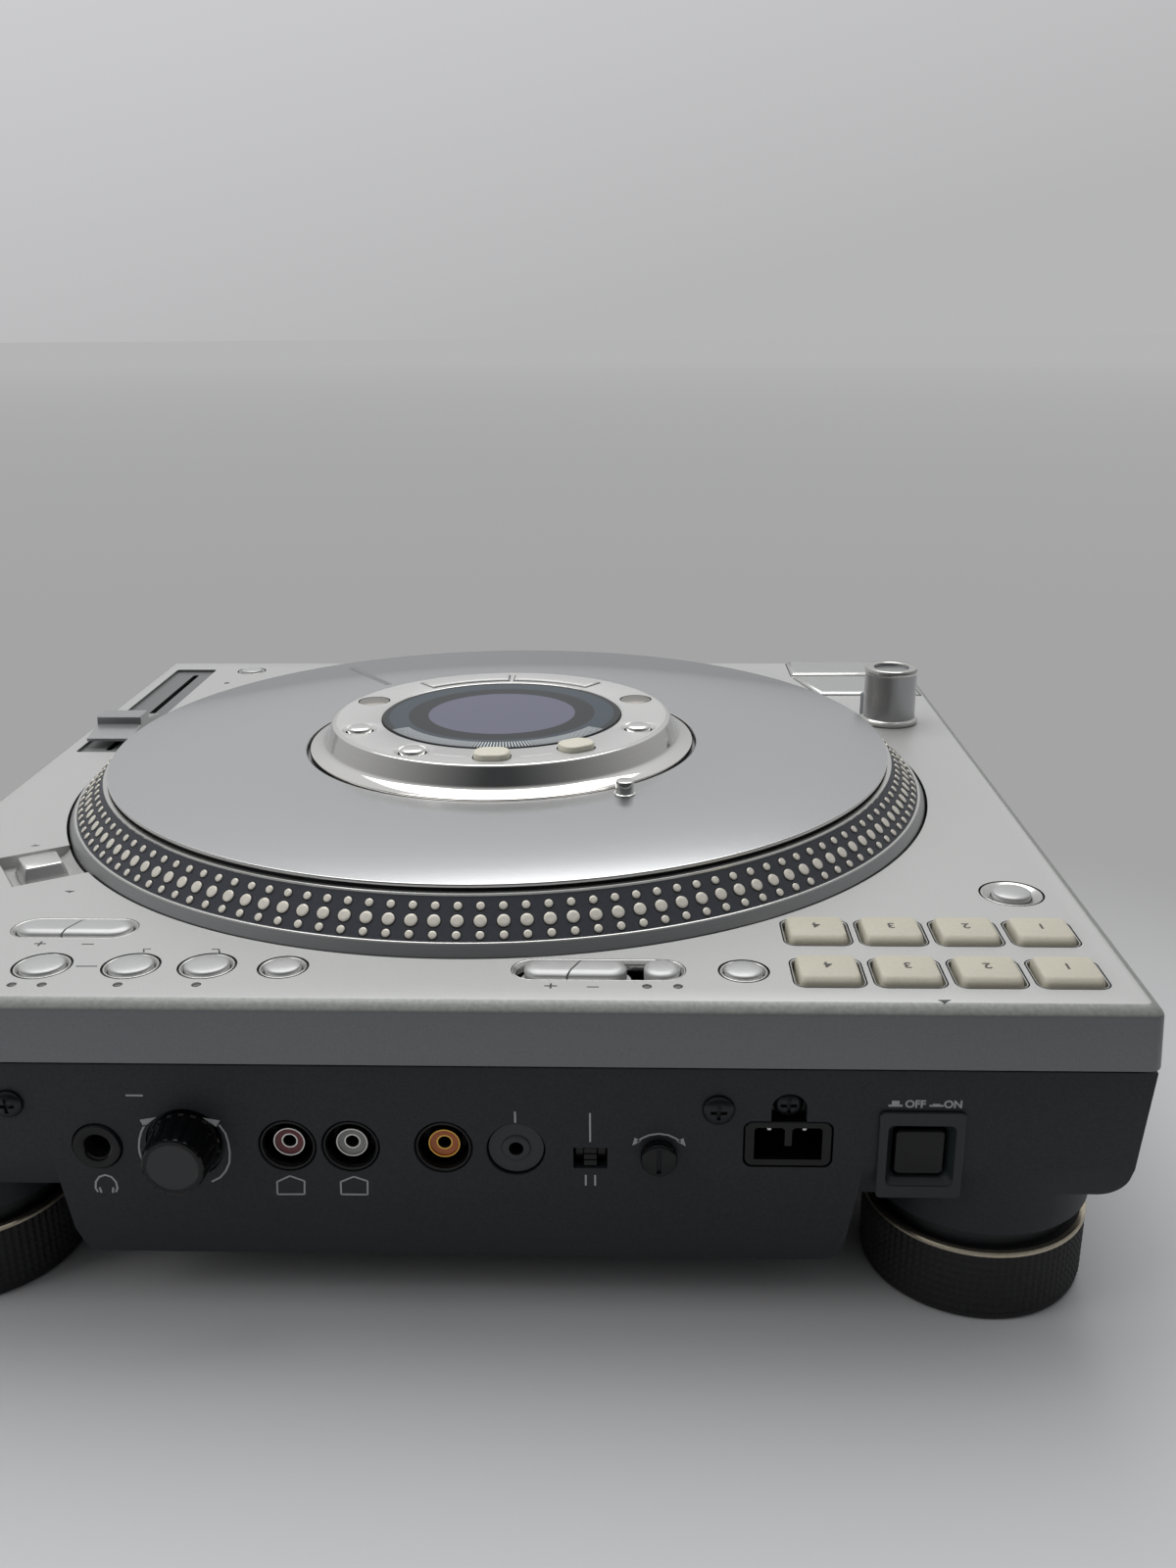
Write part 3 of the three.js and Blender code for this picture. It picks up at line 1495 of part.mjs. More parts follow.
const pinRoot = panelY - inletDepth - inletRim / 2;
const inletPins = [-1, 1].map((side) => solid(towardsRear(
  disc(inletPinRadius, pinRoot, pinRoot + inletPinLength, roundTiny),
  inletX + (side * inletPinSpacing) / 2,
  0,
  inletZ
)));
place('mains_inlet', union([cut(union([inletBody, inletTab]), [inletMouth]), ...inletPins]), finishes.black);

// Power switch: a raised frame with a deep square well and a latching key
const powerZ = deckTop - powerDrop;
const frameLow = panelY + seatGap;
const frameHigh = panelY + powerProud;
const frame = solid(wallBox(powerWidth, powerHeight, powerX, powerZ, frameLow, frameHigh));
const sleeve = solid(wallBox(powerSleeve, powerSleeve, powerX, powerZ, panelY - powerDepth, frameHigh));
const keyWell = solid(wallBox(
  powerKeyWidth + 2 * slideGap,
  powerKeyHeight + 2 * slideGap,
  powerX,
  powerZ,
  panelY - powerDepth + powerSleeveWall,
  frameHigh + overrun
));
const frameMouth = solid(towardsRear(block([
  [powerKeyWidth + 2 * slideGap, powerKeyHeight + 2 * slideGap, powerKeyCorner, frameHigh - powerMouthDepth],
  [powerMouth, powerMouth, powerKeyCorner, frameHigh],
  [powerMouth, powerMouth, powerKeyCorner, frameHigh + overrun],
], 2), powerX, 0, powerZ));
place('power_frame', cut(frame.add(sleeve), [keyWell, frameMouth]), finishes.black);
const keyRear = panelY - powerKeySet;
const keyFront = panelY - powerDepth + powerSleeveWall + powerTravel + seatGap;
place('power_key', solid(towardsRear(block([
  [powerKeyWidth, powerKeyHeight, powerKeyCorner, keyFront],
  [powerKeyWidth, powerKeyHeight, powerKeyCorner, keyRear - capBevel],
  [powerKeyWidth - 2 * capBevel, powerKeyHeight - 2 * capBevel, powerKeyCorner - capBevel / 2, keyRear],
], 3), powerX, 0, powerZ)), finishes.black);

// Eject key in the front wall
const ejectFront = -panelY - ejectProud;
const ejectBack = -panelY + baseWall + seatGap + flangeThickness;
const ejectKey = solid(wallBox(ejectWidth, ejectHeight, ejectX, slotLevel, ejectFront, ejectBack));
const ejectFlange = solid(wallBox(
  ejectWidth + 2 * flangeWidth + 2 * slideGap,
  ejectHeight + 2 * flangeWidth + 2 * slideGap,
  ejectX,
  slotLevel,
  ejectBack - flangeThickness,
  ejectBack
));
place('eject_key', ejectKey.add(ejectFlange), finishes.black);

// Disc drive: a frame with a flat tunnel for the disc and a feed roller under it
const driveTop = driveBottom + driveHeight;
const driveFrame = solid(plainBlock(driveWidth, driveLength, driveBottom, driveTop, 0, driveMidY));
const driveTunnelCut = solid(plainBlock(
  slotWidth,
  driveLength - driveWall + overrun,
  slotLevel - driveTunnel / 2,
  slotLevel + driveTunnel / 2,
  0,
  driveMidY - driveWall / 2 - overrun / 2
));
const rollerAxis = slotLevel - driveTunnel / 2;
const roller = solid(disc(driveRollerRadius, -slotWidth / 2 - overrun, slotWidth / 2 + overrun, roundTiny)
  .rotateY(Math.PI / 2)
  .translate(0, driveFront + baseWall * 2, rollerAxis));
place('disc_drive', cut(driveFrame, [driveTunnelCut]).add(roller), finishes.steel);

// Main board on the tub floor, and the mains transformer
const boardLow = tubFloor + mainBoard.lift;
const boardTop = boardLow + mainBoard.thickness;
const boardPlate = solid(plainBlock(mainBoard.width, mainBoard.length, boardLow, boardTop, 0, boardMidY));
const chips = [-1, 0, 1].map((column) => solid(plainBlock(
  mainBoard.chip,
  mainBoard.chip,
  boardTop - mainBoard.thickness / 2,
  boardTop + mainBoard.chipHeight,
  column * mainBoard.chip * 2,
  boardMidY
)));
place('main_board', union([boardPlate, ...chips]), finishes.board);

const coreLow = tubFloor + seatGap;
const transformerX = transformer.sideInset - tubHalfWidth;
const transformerY = panelY - transformer.rearInset;
const core = solid(plainBlock(
  transformer.width,
  transformer.core,
  coreLow,
  coreLow + transformer.height,
  transformerX,
  transformerY
));
const windingTop = coreLow + transformer.height - baseWall;
const winding = solid(block([
  [transformer.coilRadius * 2, transformer.length, transformer.coilRadius / 4, coreLow + baseWall],
  [transformer.coilRadius * 2, transformer.length, transformer.coilRadius / 4, windingTop],
], 1).translate(transformerX, transformerY, 0));
place('mains_transformer', core.add(winding), finishes.steel);

// The part's origin is under the middle of its footprint
const frontReach = halfDepth + skirtFlare;
const model = new THREE.Group();
model.add(player);
player.position.y = (frontReach - knobHigh) / 2;

export default model;
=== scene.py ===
# %% [markdown]
# # A tabletop disc player, dressed for a studio photograph
# The CAD model gives every piece its place and size. This notebook loads it as a fixed frame,
# then gives each piece the surface that the real one has, and swaps the coarse solids for
# finely made ones where the eye would catch a facet.

# %% Load the frame
import json
import math

import bmesh
import bpy
from mathutils import Matrix, Vector


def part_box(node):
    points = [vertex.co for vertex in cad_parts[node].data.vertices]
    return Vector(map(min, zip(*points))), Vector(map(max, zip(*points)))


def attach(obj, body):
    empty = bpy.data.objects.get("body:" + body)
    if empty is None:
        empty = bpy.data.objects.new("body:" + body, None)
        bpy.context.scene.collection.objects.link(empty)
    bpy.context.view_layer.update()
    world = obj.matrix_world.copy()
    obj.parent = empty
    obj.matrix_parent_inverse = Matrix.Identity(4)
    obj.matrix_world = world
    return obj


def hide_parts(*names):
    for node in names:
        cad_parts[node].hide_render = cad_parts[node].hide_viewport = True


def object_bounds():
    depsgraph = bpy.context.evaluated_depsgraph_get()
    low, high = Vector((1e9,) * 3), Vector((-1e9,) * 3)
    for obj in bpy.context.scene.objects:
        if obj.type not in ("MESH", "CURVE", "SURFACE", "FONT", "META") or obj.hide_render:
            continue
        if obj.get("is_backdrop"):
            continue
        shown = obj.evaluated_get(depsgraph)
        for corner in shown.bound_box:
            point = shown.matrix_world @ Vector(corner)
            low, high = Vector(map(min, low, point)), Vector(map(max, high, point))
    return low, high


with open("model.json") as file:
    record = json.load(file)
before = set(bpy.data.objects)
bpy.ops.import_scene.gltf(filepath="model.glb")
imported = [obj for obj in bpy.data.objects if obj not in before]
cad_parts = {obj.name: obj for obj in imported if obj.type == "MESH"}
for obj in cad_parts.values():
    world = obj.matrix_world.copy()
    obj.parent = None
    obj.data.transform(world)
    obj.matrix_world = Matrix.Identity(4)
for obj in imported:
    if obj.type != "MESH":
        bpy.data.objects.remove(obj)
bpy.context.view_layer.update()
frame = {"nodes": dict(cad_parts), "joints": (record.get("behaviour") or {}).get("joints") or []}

# %% [markdown]
# ## One set of units
# The player is drawn in millimetres about the platter's axis, as its drawing is, and Blender
# works in metres. One helper turns a place in the drawing into a place in the frame, and the
# axis comes from the joint that the platter spins on, so nothing has to be fitted by eye.

# %% Places in the drawing
MM = 0.001
spin = next(joint for joint in frame["joints"] if joint["name"] == "platter_spin")
axis_y = spin["pos_m"][1]
deck_z = spin["pos_m"][2] / MM


def place(x, y, z):
    return Vector((x * MM, y * MM + axis_y, z * MM))


def box_mm(node):
    low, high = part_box(node)
    low = [low[0] / MM, (low[1] - axis_y) / MM, low[2] / MM]
    high = [high[0] / MM, (high[1] - axis_y) / MM, high[2] / MM]
    return low, high


print("platter axis at y", axis_y, "deck at", deck_z, "mm")

# %% [markdown]
# ## The camera
# The photograph was taken with a wide lens, close behind the player's right corner and a little
# above it. Its place, its turn and its lens were solved from the straight edges and the circles
# of the body, so that drawn lines and photographed lines fall on each other.

# %% Camera
camera_data = bpy.data.cameras.new("photographer")
camera_data.sensor_fit = "AUTO"
camera_data.sensor_width = 36
camera_data.lens = 32.254
camera_data.clip_start = 0.01
camera_data.clip_end = 60
camera = bpy.data.objects.new("photographer", camera_data)
bpy.context.scene.collection.objects.link(camera)
right = Vector((-0.999541, -0.029379, -0.007332))
down = Vector((-0.002511, 0.321724, -0.946830))
ahead = Vector((0.030176, -0.946377, -0.321650))
turn = Matrix((right, -down, -ahead)).transposed()
camera.matrix_world = Matrix.Translation((-0.045915, 0.478114, 0.255535)) @ turn.to_4x4()
bpy.context.scene.camera = camera
print("camera at", [round(v, 3) for v in camera.location], "lens", camera_data.lens)


# %% [markdown]
# ## Colours as the eye reads them
# A colour picker shows display values, and a shader wants light. This helper turns one into the
# other, so that colours can be written down the way a maker would name them.

# %% Colour helper
def tint(red, green, blue):
    def light(value):
        value /= 255
        return value / 12.92 if value <= 0.04045 else ((value + 0.055) / 1.055) ** 2.4
    return (light(red), light(green), light(blue), 1)


print("middle grey as light:", round(tint(128, 128, 128)[0], 3))

# %% [markdown]
# ## Building shader trees
# A shader tree is a set of nodes and the links between them. One helper adds a node, applies its
# settings and fills its inputs: another node's output becomes a link, anything else a set value.

# %% Node helpers
def add_node(tree, kind, inputs=None, **settings):
    node = tree.nodes.new("ShaderNode" + kind)
    for name, value in settings.items():
        setattr(node, name, value)
    for label, value in (inputs or {}).items():
        if isinstance(value, bpy.types.NodeSocket):
            tree.links.new(value, node.inputs[label])
        else:
            node.inputs[label].default_value = value
    return node


def math_node(tree, operation, *values, clamp=False):
    node = add_node(tree, "Math", dict(enumerate(values)), operation=operation, use_clamp=clamp)
    return node.outputs[0]


def noise_node(tree, vector, scale, detail):
    node = add_node(tree, "TexNoise", {"Vector": vector, "Scale": scale, "Detail": detail})
    return node.outputs["Fac"]


def range_node(tree, value, low, high, kind="LINEAR"):
    node = add_node(tree, "MapRange", {"Value": value, "From Min": low, "From Max": high},
                    interpolation_type=kind)
    return node.outputs["Result"]


def ramp_node(tree, factor, first, second, full_at=1.0):
    node = add_node(tree, "ValToRGB", {"Fac": factor})
    low, high = node.color_ramp.elements
    low.color, high.color, high.position = first, second, full_at
    return node.outputs["Color"]


def new_material(name):
    material = bpy.data.materials.new(name)
    material.use_nodes = True
    return material, material.node_tree, material.node_tree.nodes["Principled BSDF"]


print("node helpers ready")

# %% [markdown]
# ## Floor, air and light
# A product photographer stands the piece on a pale sweep, hangs a broad soft light above and
# beyond it and lets the side of the camera stay dimmer. The chrome needs that dim side: without
# something dark to mirror it would look like white paint. The sky here is brightest above and
# beyond the player and on the window's side, and falls off towards the near side of the room.
# The paper goes over into one even tone away from the player, as it does on a long sweep.

# %% Floor
floor_mesh = bpy.data.meshes.new("studio_floor")
floor_half = 12
floor_mesh.from_pydata([(floor_half * x, floor_half * y, 0)
                        for x, y in ((-1, -1), (1, -1), (1, 1), (-1, 1))], [], [(0, 1, 2, 3)])
floor = bpy.data.objects.new("studio_floor", floor_mesh)
bpy.context.scene.collection.objects.link(floor)
floor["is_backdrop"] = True
paper, tree, shader = new_material("pale studio paper")
shader.inputs["Base Color"].default_value = tint(198, 198, 199)
shader.inputs["Roughness"].default_value = 0.75
shader.inputs["Specular IOR Level"].default_value = 0.25
spot = add_node(tree, "TexCoord").outputs["Object"]
under_player = (0, 0.3, 0)
reach = add_node(tree, "VectorMath", {0: spot, 1: under_player}, operation="DISTANCE")
reach = reach.outputs["Value"]
camera_ray = add_node(tree, "LightPath").outputs["Is Camera Ray"]
near_to_far = range_node(tree, reach, 0.3, 0.55, "SMOOTHSTEP")
by_eye = math_node(tree, "MULTIPLY", near_to_far, camera_ray)
far_tone = ramp_node(tree, range_node(tree, reach, 1.1, 7.0), tint(164, 164, 164),
                     tint(180, 180, 181))
far_paper = add_node(tree, "Emission", {"Color": far_tone}).outputs["Emission"]
sweep = add_node(tree, "MixShader", {"Fac": by_eye, 1: shader.outputs["BSDF"], 2: far_paper})
tree.links.new(sweep.outputs["Shader"], tree.nodes["Material Output"].inputs["Surface"])
floor_mesh.materials.append(paper)
print("floor ready")

# %% Sky
bpy.context.scene.view_settings.view_transform = "Standard"
world = bpy.data.worlds.new("studio air")
bpy.context.scene.world = world
world.use_nodes = True
air = world.node_tree
air.nodes.clear()
direction = add_node(air, "TexCoord").outputs["Generated"]
way = add_node(air, "SeparateXYZ", {"Vector": direction}).outputs
sides = math_node(air, "MAXIMUM", math_node(air, "MULTIPLY", way["X"], -0.4), way["X"])
upward = math_node(air, "MULTIPLY", way["Z"], 0.78)
glow = math_node(air, "MULTIPLY_ADD", way["Y"], -0.48, upward)
glow = math_node(air, "MULTIPLY_ADD", sides, 0.24, glow)
lit_tone = ramp_node(air, glow, (0.05, 0.052, 0.056, 1), (0.72, 0.73, 0.74, 1), 0.85)
height_seen = math_node(air, "MULTIPLY_ADD", way["X"], 0.23, way["Z"])
seen_tone = ramp_node(air, range_node(air, height_seen, 0.0, 0.3), tint(181, 181, 182),
                      tint(207, 207, 209))
lit = add_node(air, "Background", {"Color": lit_tone}).outputs["Background"]
seen = add_node(air, "Background", {"Color": seen_tone}).outputs["Background"]
camera_ray = add_node(air, "LightPath").outputs["Is Camera Ray"]
pick = add_node(air, "MixShader", {"Fac": camera_ray, 1: lit, 2: seen}).outputs["Shader"]
add_node(air, "OutputWorld", {"Surface": pick})
print("sky ready")


# %% Lights
def soft_light(name, at, towards, width, height, power):
    data = bpy.data.lights.new(name, "AREA")
    data.shape = "RECTANGLE"
    data.size, data.size_y, data.energy = width, height, power
    lamp = bpy.data.objects.new(name, data)
    lamp.location = at
    lamp.rotation_euler = (Vector(towards) - Vector(at)).to_track_quat("-Z", "Y").to_euler()
    bpy.context.scene.collection.objects.link(lamp)
    return lamp


soft_light("overhead softbox", (0.1, -0.45, 1.35), (0, -0.05, 0.05), 1.5, 1.1, 14)
window = soft_light("window side", (1.0, 0.45, 0.6), (0, 0, 0.05), 0.7, 0.7, 3.2)
window.visible_glossy = False

# %% [markdown]
# ## Grain that several finishes share
# Paint, moulded plastic and turned metal all carry a fine irregularity. Each kind is built once
# as a node group that takes the same inputs and gives out a colour, a roughness and a height.
# What the two groups have in common, the last steps, is written once for both.

# %% Group helpers
COLOR, FLOAT = "NodeSocketColor", "NodeSocketFloat"


def new_group(name):
    group = bpy.data.node_groups.new(name, "ShaderNodeTree")
    for label, kind in (("Color", COLOR), ("Second Color", COLOR), ("Scale", FLOAT),
                        ("Amount", FLOAT), ("Roughness", FLOAT), ("Roughness Spread", FLOAT)):
        group.interface.new_socket(label, in_out="INPUT", socket_type=kind)
    for label, kind in (("Color", COLOR), ("Roughness", FLOAT), ("Height", FLOAT)):
        group.interface.new_socket(label, in_out="OUTPUT", socket_type=kind)
    given = group.nodes.new("NodeGroupInput").outputs
    coordinates = add_node(group, "TexCoord").outputs["Object"]
    return group, given, coordinates


def close_group(group, given, share, wander, height):
    colour = add_node(group, "Mix", {0: share, 6: given["Color"], 7: given["Second Color"]},
                      data_type="RGBA").outputs[2]
    spread = math_node(group, "MULTIPLY", wander, given["Roughness Spread"])
    rough = math_node(group, "ADD", given["Roughness"], spread, clamp=True)
    end = group.nodes.new("NodeGroupOutput")
    for label, value in (("Color", colour), ("Roughness", rough), ("Height", height)):
        group.links.new(value, end.inputs[label])
    print(group.name, "has", len(group.nodes), "nodes")


print("group helpers ready")

# %% [markdown]
# ### Speckle
# Metallic paint and moulded plastic show two things close up: grains of slightly different
# brightness, and broad, very faint clouds where hands and dust have been. Fine noise gives the
# grains, coarse noise the clouds, and both also move the roughness a little.

# %% Speckle group
speckle, given, coordinates = new_group("surface speckle")
grain = noise_node(speckle, coordinates, given["Scale"], 2)
clouds = noise_node(speckle, coordinates, 14.0, 4)
sharp = math_node(speckle, "SUBTRACT", math_node(speckle, "MULTIPLY", grain, 3.2), 1.1, clamp=True)
grain_share = math_node(speckle, "MULTIPLY", sharp, given["Amount"])
cloud_share = math_node(speckle, "MULTIPLY", clouds, 0.1)
share = math_node(speckle, "ADD", grain_share, cloud_share, clamp=True)
close_group(speckle, given, share, math_node(speckle, "SUBTRACT", clouds, 0.5), grain)
print("group made:", speckle.name)

# %% [markdown]
# ### Turned grain
# A lathe leaves rings that are too fine to see one by one, but they stretch the reflections.
# The distance from the platter's axis drives a noise in one direction only, so the rings run
# true round the middle however coarse the mesh is.

# %% Turned grain group
turned_grain, given, coordinates = new_group("turned grain")
centred = add_node(turned_grain, "VectorMath", {0: coordinates, 1: (0, axis_y, 0)},
                   operation="SUBTRACT")
split = add_node(turned_grain, "SeparateXYZ", {0: centred.outputs[0]}).outputs
squares = [math_node(turned_grain, "MULTIPLY", split[axis], split[axis]) for axis in "XY"]
radius = math_node(turned_grain, "SQRT", math_node(turned_grain, "ADD", *squares))
along = add_node(turned_grain, "CombineXYZ", {"X": radius, "Z": split["Z"]}).outputs[0]
rings = noise_node(turned_grain, along, given["Scale"], 3)
smudge = noise_node(turned_grain, coordinates, 11.0, 4)
share = math_node(turned_grain, "MULTIPLY", rings, given["Amount"], clamp=True)
wander = math_node(turned_grain, "SUBTRACT", math_node(turned_grain, "ADD", rings, smudge), 1.0)
close_group(turned_grain, given, share, wander, rings)
print("group made:", turned_grain.name)

# %% [markdown]
# ## Finishes
# Each finish below is one of the two groups in a plain Principled shader. What is the same all
# over the surface, such as metalness or a clear coat, is set on the shader itself.

# %% Finish helper
def painted(name, colour, second, scale=2500.0, amount=0.3, rough=0.4, spread=0.1, group=speckle,
            metallic=0.0, bump=0.0, specular=0.5, coat=0.0):
    material, tree, shader = new_material(name)
    node = add_node(tree, "Group", {
        "Color": tint(*colour), "Second Color": tint(*second), "Scale": scale, "Amount": amount,
        "Roughness": rough, "Roughness Spread": spread,
    }, node_tree=group)
    tree.links.new(node.outputs["Color"], shader.inputs["Base Color"])
    tree.links.new(node.outputs["Roughness"], shader.inputs["Roughness"])
    if bump:
        raised = add_node(tree, "Bump", {"Strength": bump, "Distance": 0.0001,
                                         "Height": node.outputs["Height"]})
        tree.links.new(raised.outputs["Normal"], shader.inputs["Normal"])
    for label, value in (("Metallic", metallic), ("Specular IOR Level", specular),
                         ("Coat Weight", coat)):
        shader.inputs[label].default_value = value
    material.diffuse_color = tint(*colour)
    return material


def lathed(name, colour, second, scale=1500.0, rough=0.3, **rest):
    return painted(name, colour, second, scale=scale, rough=rough, group=turned_grain, **rest)


print("finishes can be made")

# %% Silver paint and metals
deck_silver = painted("silver deck paint", (182, 182, 180), (148, 149, 148),
                      scale=3000, amount=0.35, rough=0.42, metallic=0.35, bump=0.12)
# The bevel takes the deck's silver darkened: painted half shade on the slope between the lit deck
# and the shaded skirt.
bevel_shade_silver = painted("half shaded bevel silver", (146, 148, 144), (112, 113, 110),
                      scale=900, amount=0.4, rough=0.42, metallic=0.35)
key_silver = painted("satin key silver", (178, 178, 177), (150, 151, 151),
                     scale=3500, amount=0.25, rough=0.36, metallic=0.45)
disc_silver = lathed("satin turned disc", (188, 189, 190), (170, 171, 172),
                     scale=2600, amount=0.5, rough=0.2, spread=0.03, metallic=0.85)
rim_silver = lathed("turned platter rim", (172, 172, 172), (128, 129, 130),
                    scale=2200, amount=0.5, rough=0.34, metallic=0.85, bump=0.06)
chrome = lathed("hub chrome", (226, 224, 220), (206, 204, 200),
                scale=900, amount=0.25, rough=0.08, spread=0.04, metallic=1.0)
steel = painted("zinc plated steel", (150, 152, 154), (118, 120, 122),
                scale=700, amount=0.4, rough=0.4, metallic=0.9)
copper = painted("copper windings", (176, 106, 66), (120, 66, 40),
                 scale=1800, amount=0.5, rough=0.4, metallic=0.8)
print("metals:", [m.name for m in (deck_silver, disc_silver, rim_silver, chrome, steel, copper)])

# %% Plastics, rubber and glass
panel_black = painted("charcoal moulding", (40, 43, 47), (26, 28, 32), scale=1500,
                      amount=0.5, rough=0.52, bump=0.25, specular=0.35)
gloss_black = painted("gloss black plastic", (10, 11, 13), (6, 6, 8), scale=1200,
                      rough=0.18, spread=0.05, specular=0.3)
rubber_black = painted("black rubber", (27, 27, 29), (14, 14, 15),
                       scale=1600, amount=0.5, rough=0.62, bump=0.3)
felt_black = painted("slip mat felt", (30, 31, 33), (52, 53, 56),
                     scale=1100, amount=0.6, rough=0.9, bump=0.8)
pad_cream = painted("cream pad rubber", (184, 179, 163), (168, 162, 145),
                    scale=1200, rough=0.5, bump=0.08)
glass_dark = painted("display window", (70, 78, 88), (58, 66, 76),
                     scale=600, rough=0.1, coat=1.0)
board_green = painted("circuit board", (46, 92, 62), (30, 66, 44),
                      scale=500, amount=0.5, rough=0.45)
print("plastics:", [m.name for m in (panel_black, gloss_black, rubber_black, pad_cream)])

# %% [markdown]
# ## Dressing the CAD solids
# Each CAD solid stands for one real piece, so it gets that piece's plastic or metal. Its faces
# could be copied and painted, but assigning the material to the solid's own slots leaves its
# mesh untouched.

# %% Materials on the CAD nodes
dress = {
    deck_silver: ["top_cover", "strobe_tower"],
    key_silver: [
        "pad_mode_button", "save_button", "load_button", "execute_button", "memory_button",
        "record_button", "pitch_range_button", "bank_up_key", "bank_down_key", "trim_up_key",
        "trim_down_key", "edit_button", "start_key", "cue_key", "fader_cap", "direction_switch",
        "left_hub_key", "right_hub_key",
    ],
    disc_silver: ["jog_disc"],
    rim_silver: ["platter"],
    chrome: ["hub_housing", "loop_button_1", "loop_button_2", "loop_button_3",
             "left_search_key", "right_search_key", "finger_pin"],
    steel: ["centre_post", "platter_bearing", "disc_drive", "mains_transformer"],
    copper: ["motor_stator"],
    panel_black: ["base_tub", "jack_board", "power_frame", "mains_inlet"],
    gloss_black: ["power_key", "volume_knob", "brake_knob", "mode_slider", "eject_key"],
    rubber_black: ["front_left_foot", "front_right_foot", "rear_left_foot", "rear_right_foot"],
    felt_black: ["slip_mat"],
    pad_cream: [f"{row}_pad_{i}" for row in ("cue", "sample") for i in (1, 2, 3, 4)]
               + ["in_button", "out_button"],
    glass_dark: ["display_glass"],
    board_green: ["main_board"],
}
for material, nodes in dress.items():
    for node in nodes:
        slots = frame["nodes"][node].material_slots
        for index in range(len(slots)):
            slots[index].material = material
dressed = sum(len(nodes) for nodes in dress.values())
print("dressed", dressed, "of", len(frame["nodes"]), "nodes")

# %% [markdown]
# ## Tools for making pieces
# Most of this player is turned, moulded or punched, so three ways of building cover nearly all
# of it: rows of points joined into a skin, a profile turned about an axis, and a closed body
# cut by another. Every strip of a skin can have its own finish, which is how a bright lip, part
# machined finish and part painted highlight, sits next to a painted slope on one and the same
# casting. A point of a profile can end with the number of its finish, and without one it takes
# the first.

# %% Skins from rows of points
def new_skin():
    return {"points": [], "faces": [], "zones": []}


def add_rows(skin, rows, zones, ends=True):
    indexes = []
    for row in rows:
        start_at = len(skin["points"])
        skin["points"] += row
        indexes.append(list(range(start_at, start_at + len(row))))
    for low, high, zone in zip(indexes, indexes[1:], zones):
        count = max(len(low), len(high))
        for i in range(count):
            j = (i + 1) % count
            corners = (low[i % len(low)], low[j % len(low)],
                       high[j % len(high)], high[i % len(high)])
            skin["faces"].append(list(dict.fromkeys(corners)))
            skin["zones"].append(zone)
    if ends:
        for row, zone in ((indexes[0], zones[0]), (indexes[-1], zones[-1])):
            if len(row) > 2:
                skin["faces"].append(list(row))
                skin["zones"].append(zone)


def make(skin, name, materials, body=None, replaced=(), sharp=35):
    mesh = bpy.data.meshes.new(name)
    mesh.from_pydata([place(*point) for point in skin["points"]], [], skin["faces"])
    for material in materials:
        mesh.materials.append(material)
    mesh.polygons.foreach_set("material_index", skin["zones"])
    work = bmesh.new()
    work.from_mesh(mesh)
    bmesh.ops.remove_doubles(work, verts=work.verts, dist=2e-7)
    bmesh.ops.recalc_face_normals(work, faces=work.faces)
    work.to_mesh(mesh)
    work.free()
    mesh.shade_smooth()
    mesh.set_sharp_from_angle(angle=math.radians(sharp))
    piece = bpy.data.objects.new(name, mesh)
    bpy.context.scene.collection.objects.link(piece)
    if body:
        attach(piece, body)
    if replaced:
        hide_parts(*replaced)
    return piece


print("skins can be made")

# %% Turned and lofted forms
def polar(radius, angle):
    return radius * math.cos(angle), radius * math.sin(angle)


def upright(x=0, y=0, z=0):
    return lambda u, v, w: (x + u, y + v, z + w)


def rearward(x=0, y=0, z=0):
    return lambda u, v, w: (x - u, y + w, z + v)


def turned_to(degrees, out=0, x=0, y=0):
    angle = math.radians(degrees)
    return lambda u, v, w: (x + (out + u) * math.cos(angle) - v * math.sin(angle),
                            y + (out + u) * math.sin(angle) + v * math.cos(angle), w)


def zone_of(point, size):
    return point[size] if len(point) > size else 0


def add_turned(skin, profile, segments, at=upright()):
    rows = []
    for radius, height, *_ in profile:
        rows.append([at(*polar(radius, math.tau * i / segments), height)
                     for i in range(segments if radius else 1)])
    add_rows(skin, rows, [zone_of(point, 2) for point in profile], ends=False)


def rounded(width, depth, corner, steps=8):
    outline = []
    for quarter, (sx, sy) in enumerate(((1, 1), (-1, 1), (-1, -1), (1, -1))):
        for i in range(steps + 1):
            angle = (quarter + i / steps) * math.pi / 2
            outline.append((sx * (width / 2 - corner) + corner * math.cos(angle),
                            sy * (depth / 2 - corner) + corner * math.sin(angle)))
    return outline


def add_block(skin, levels, at=upright(), steps=8, ends=True):
    rows = [[at(u, v, level[3]) for u, v in rounded(*level[:3], steps)] for level in levels]
    add_rows(skin, rows, [zone_of(level, 4) for level in levels], ends)


def add_prism(skin, outline, low, high, at=upright(), zone=0):
    add_rows(skin, [[at(u, v, low) for u, v in outline], [at(u, v, high) for u, v in outline]],
             [zone, zone])


def slab(width, depth, corner, low, high, zone=0):
    return [(width, depth, corner, low, zone), (width, depth, corner, high, zone)]


def drum(radius, low, high, zone=0):
    return [(0, low, zone), (radius, low, zone), (radius, high, zone), (0, high, zone)]


def inset_levels(width, depth, corner, steps):
    return [(width - 2 * inset, depth - 2 * inset, corner - inset, height)
            for inset, height in steps]


def centre_of(node):
    low, high = box_mm(node)
    return (low[0] + high[0]) / 2, (low[1] + high[1]) / 2, high[2]


def over(node):
    return upright(*centre_of(node)[:2])


print("turned, lofted and straight forms can be made")

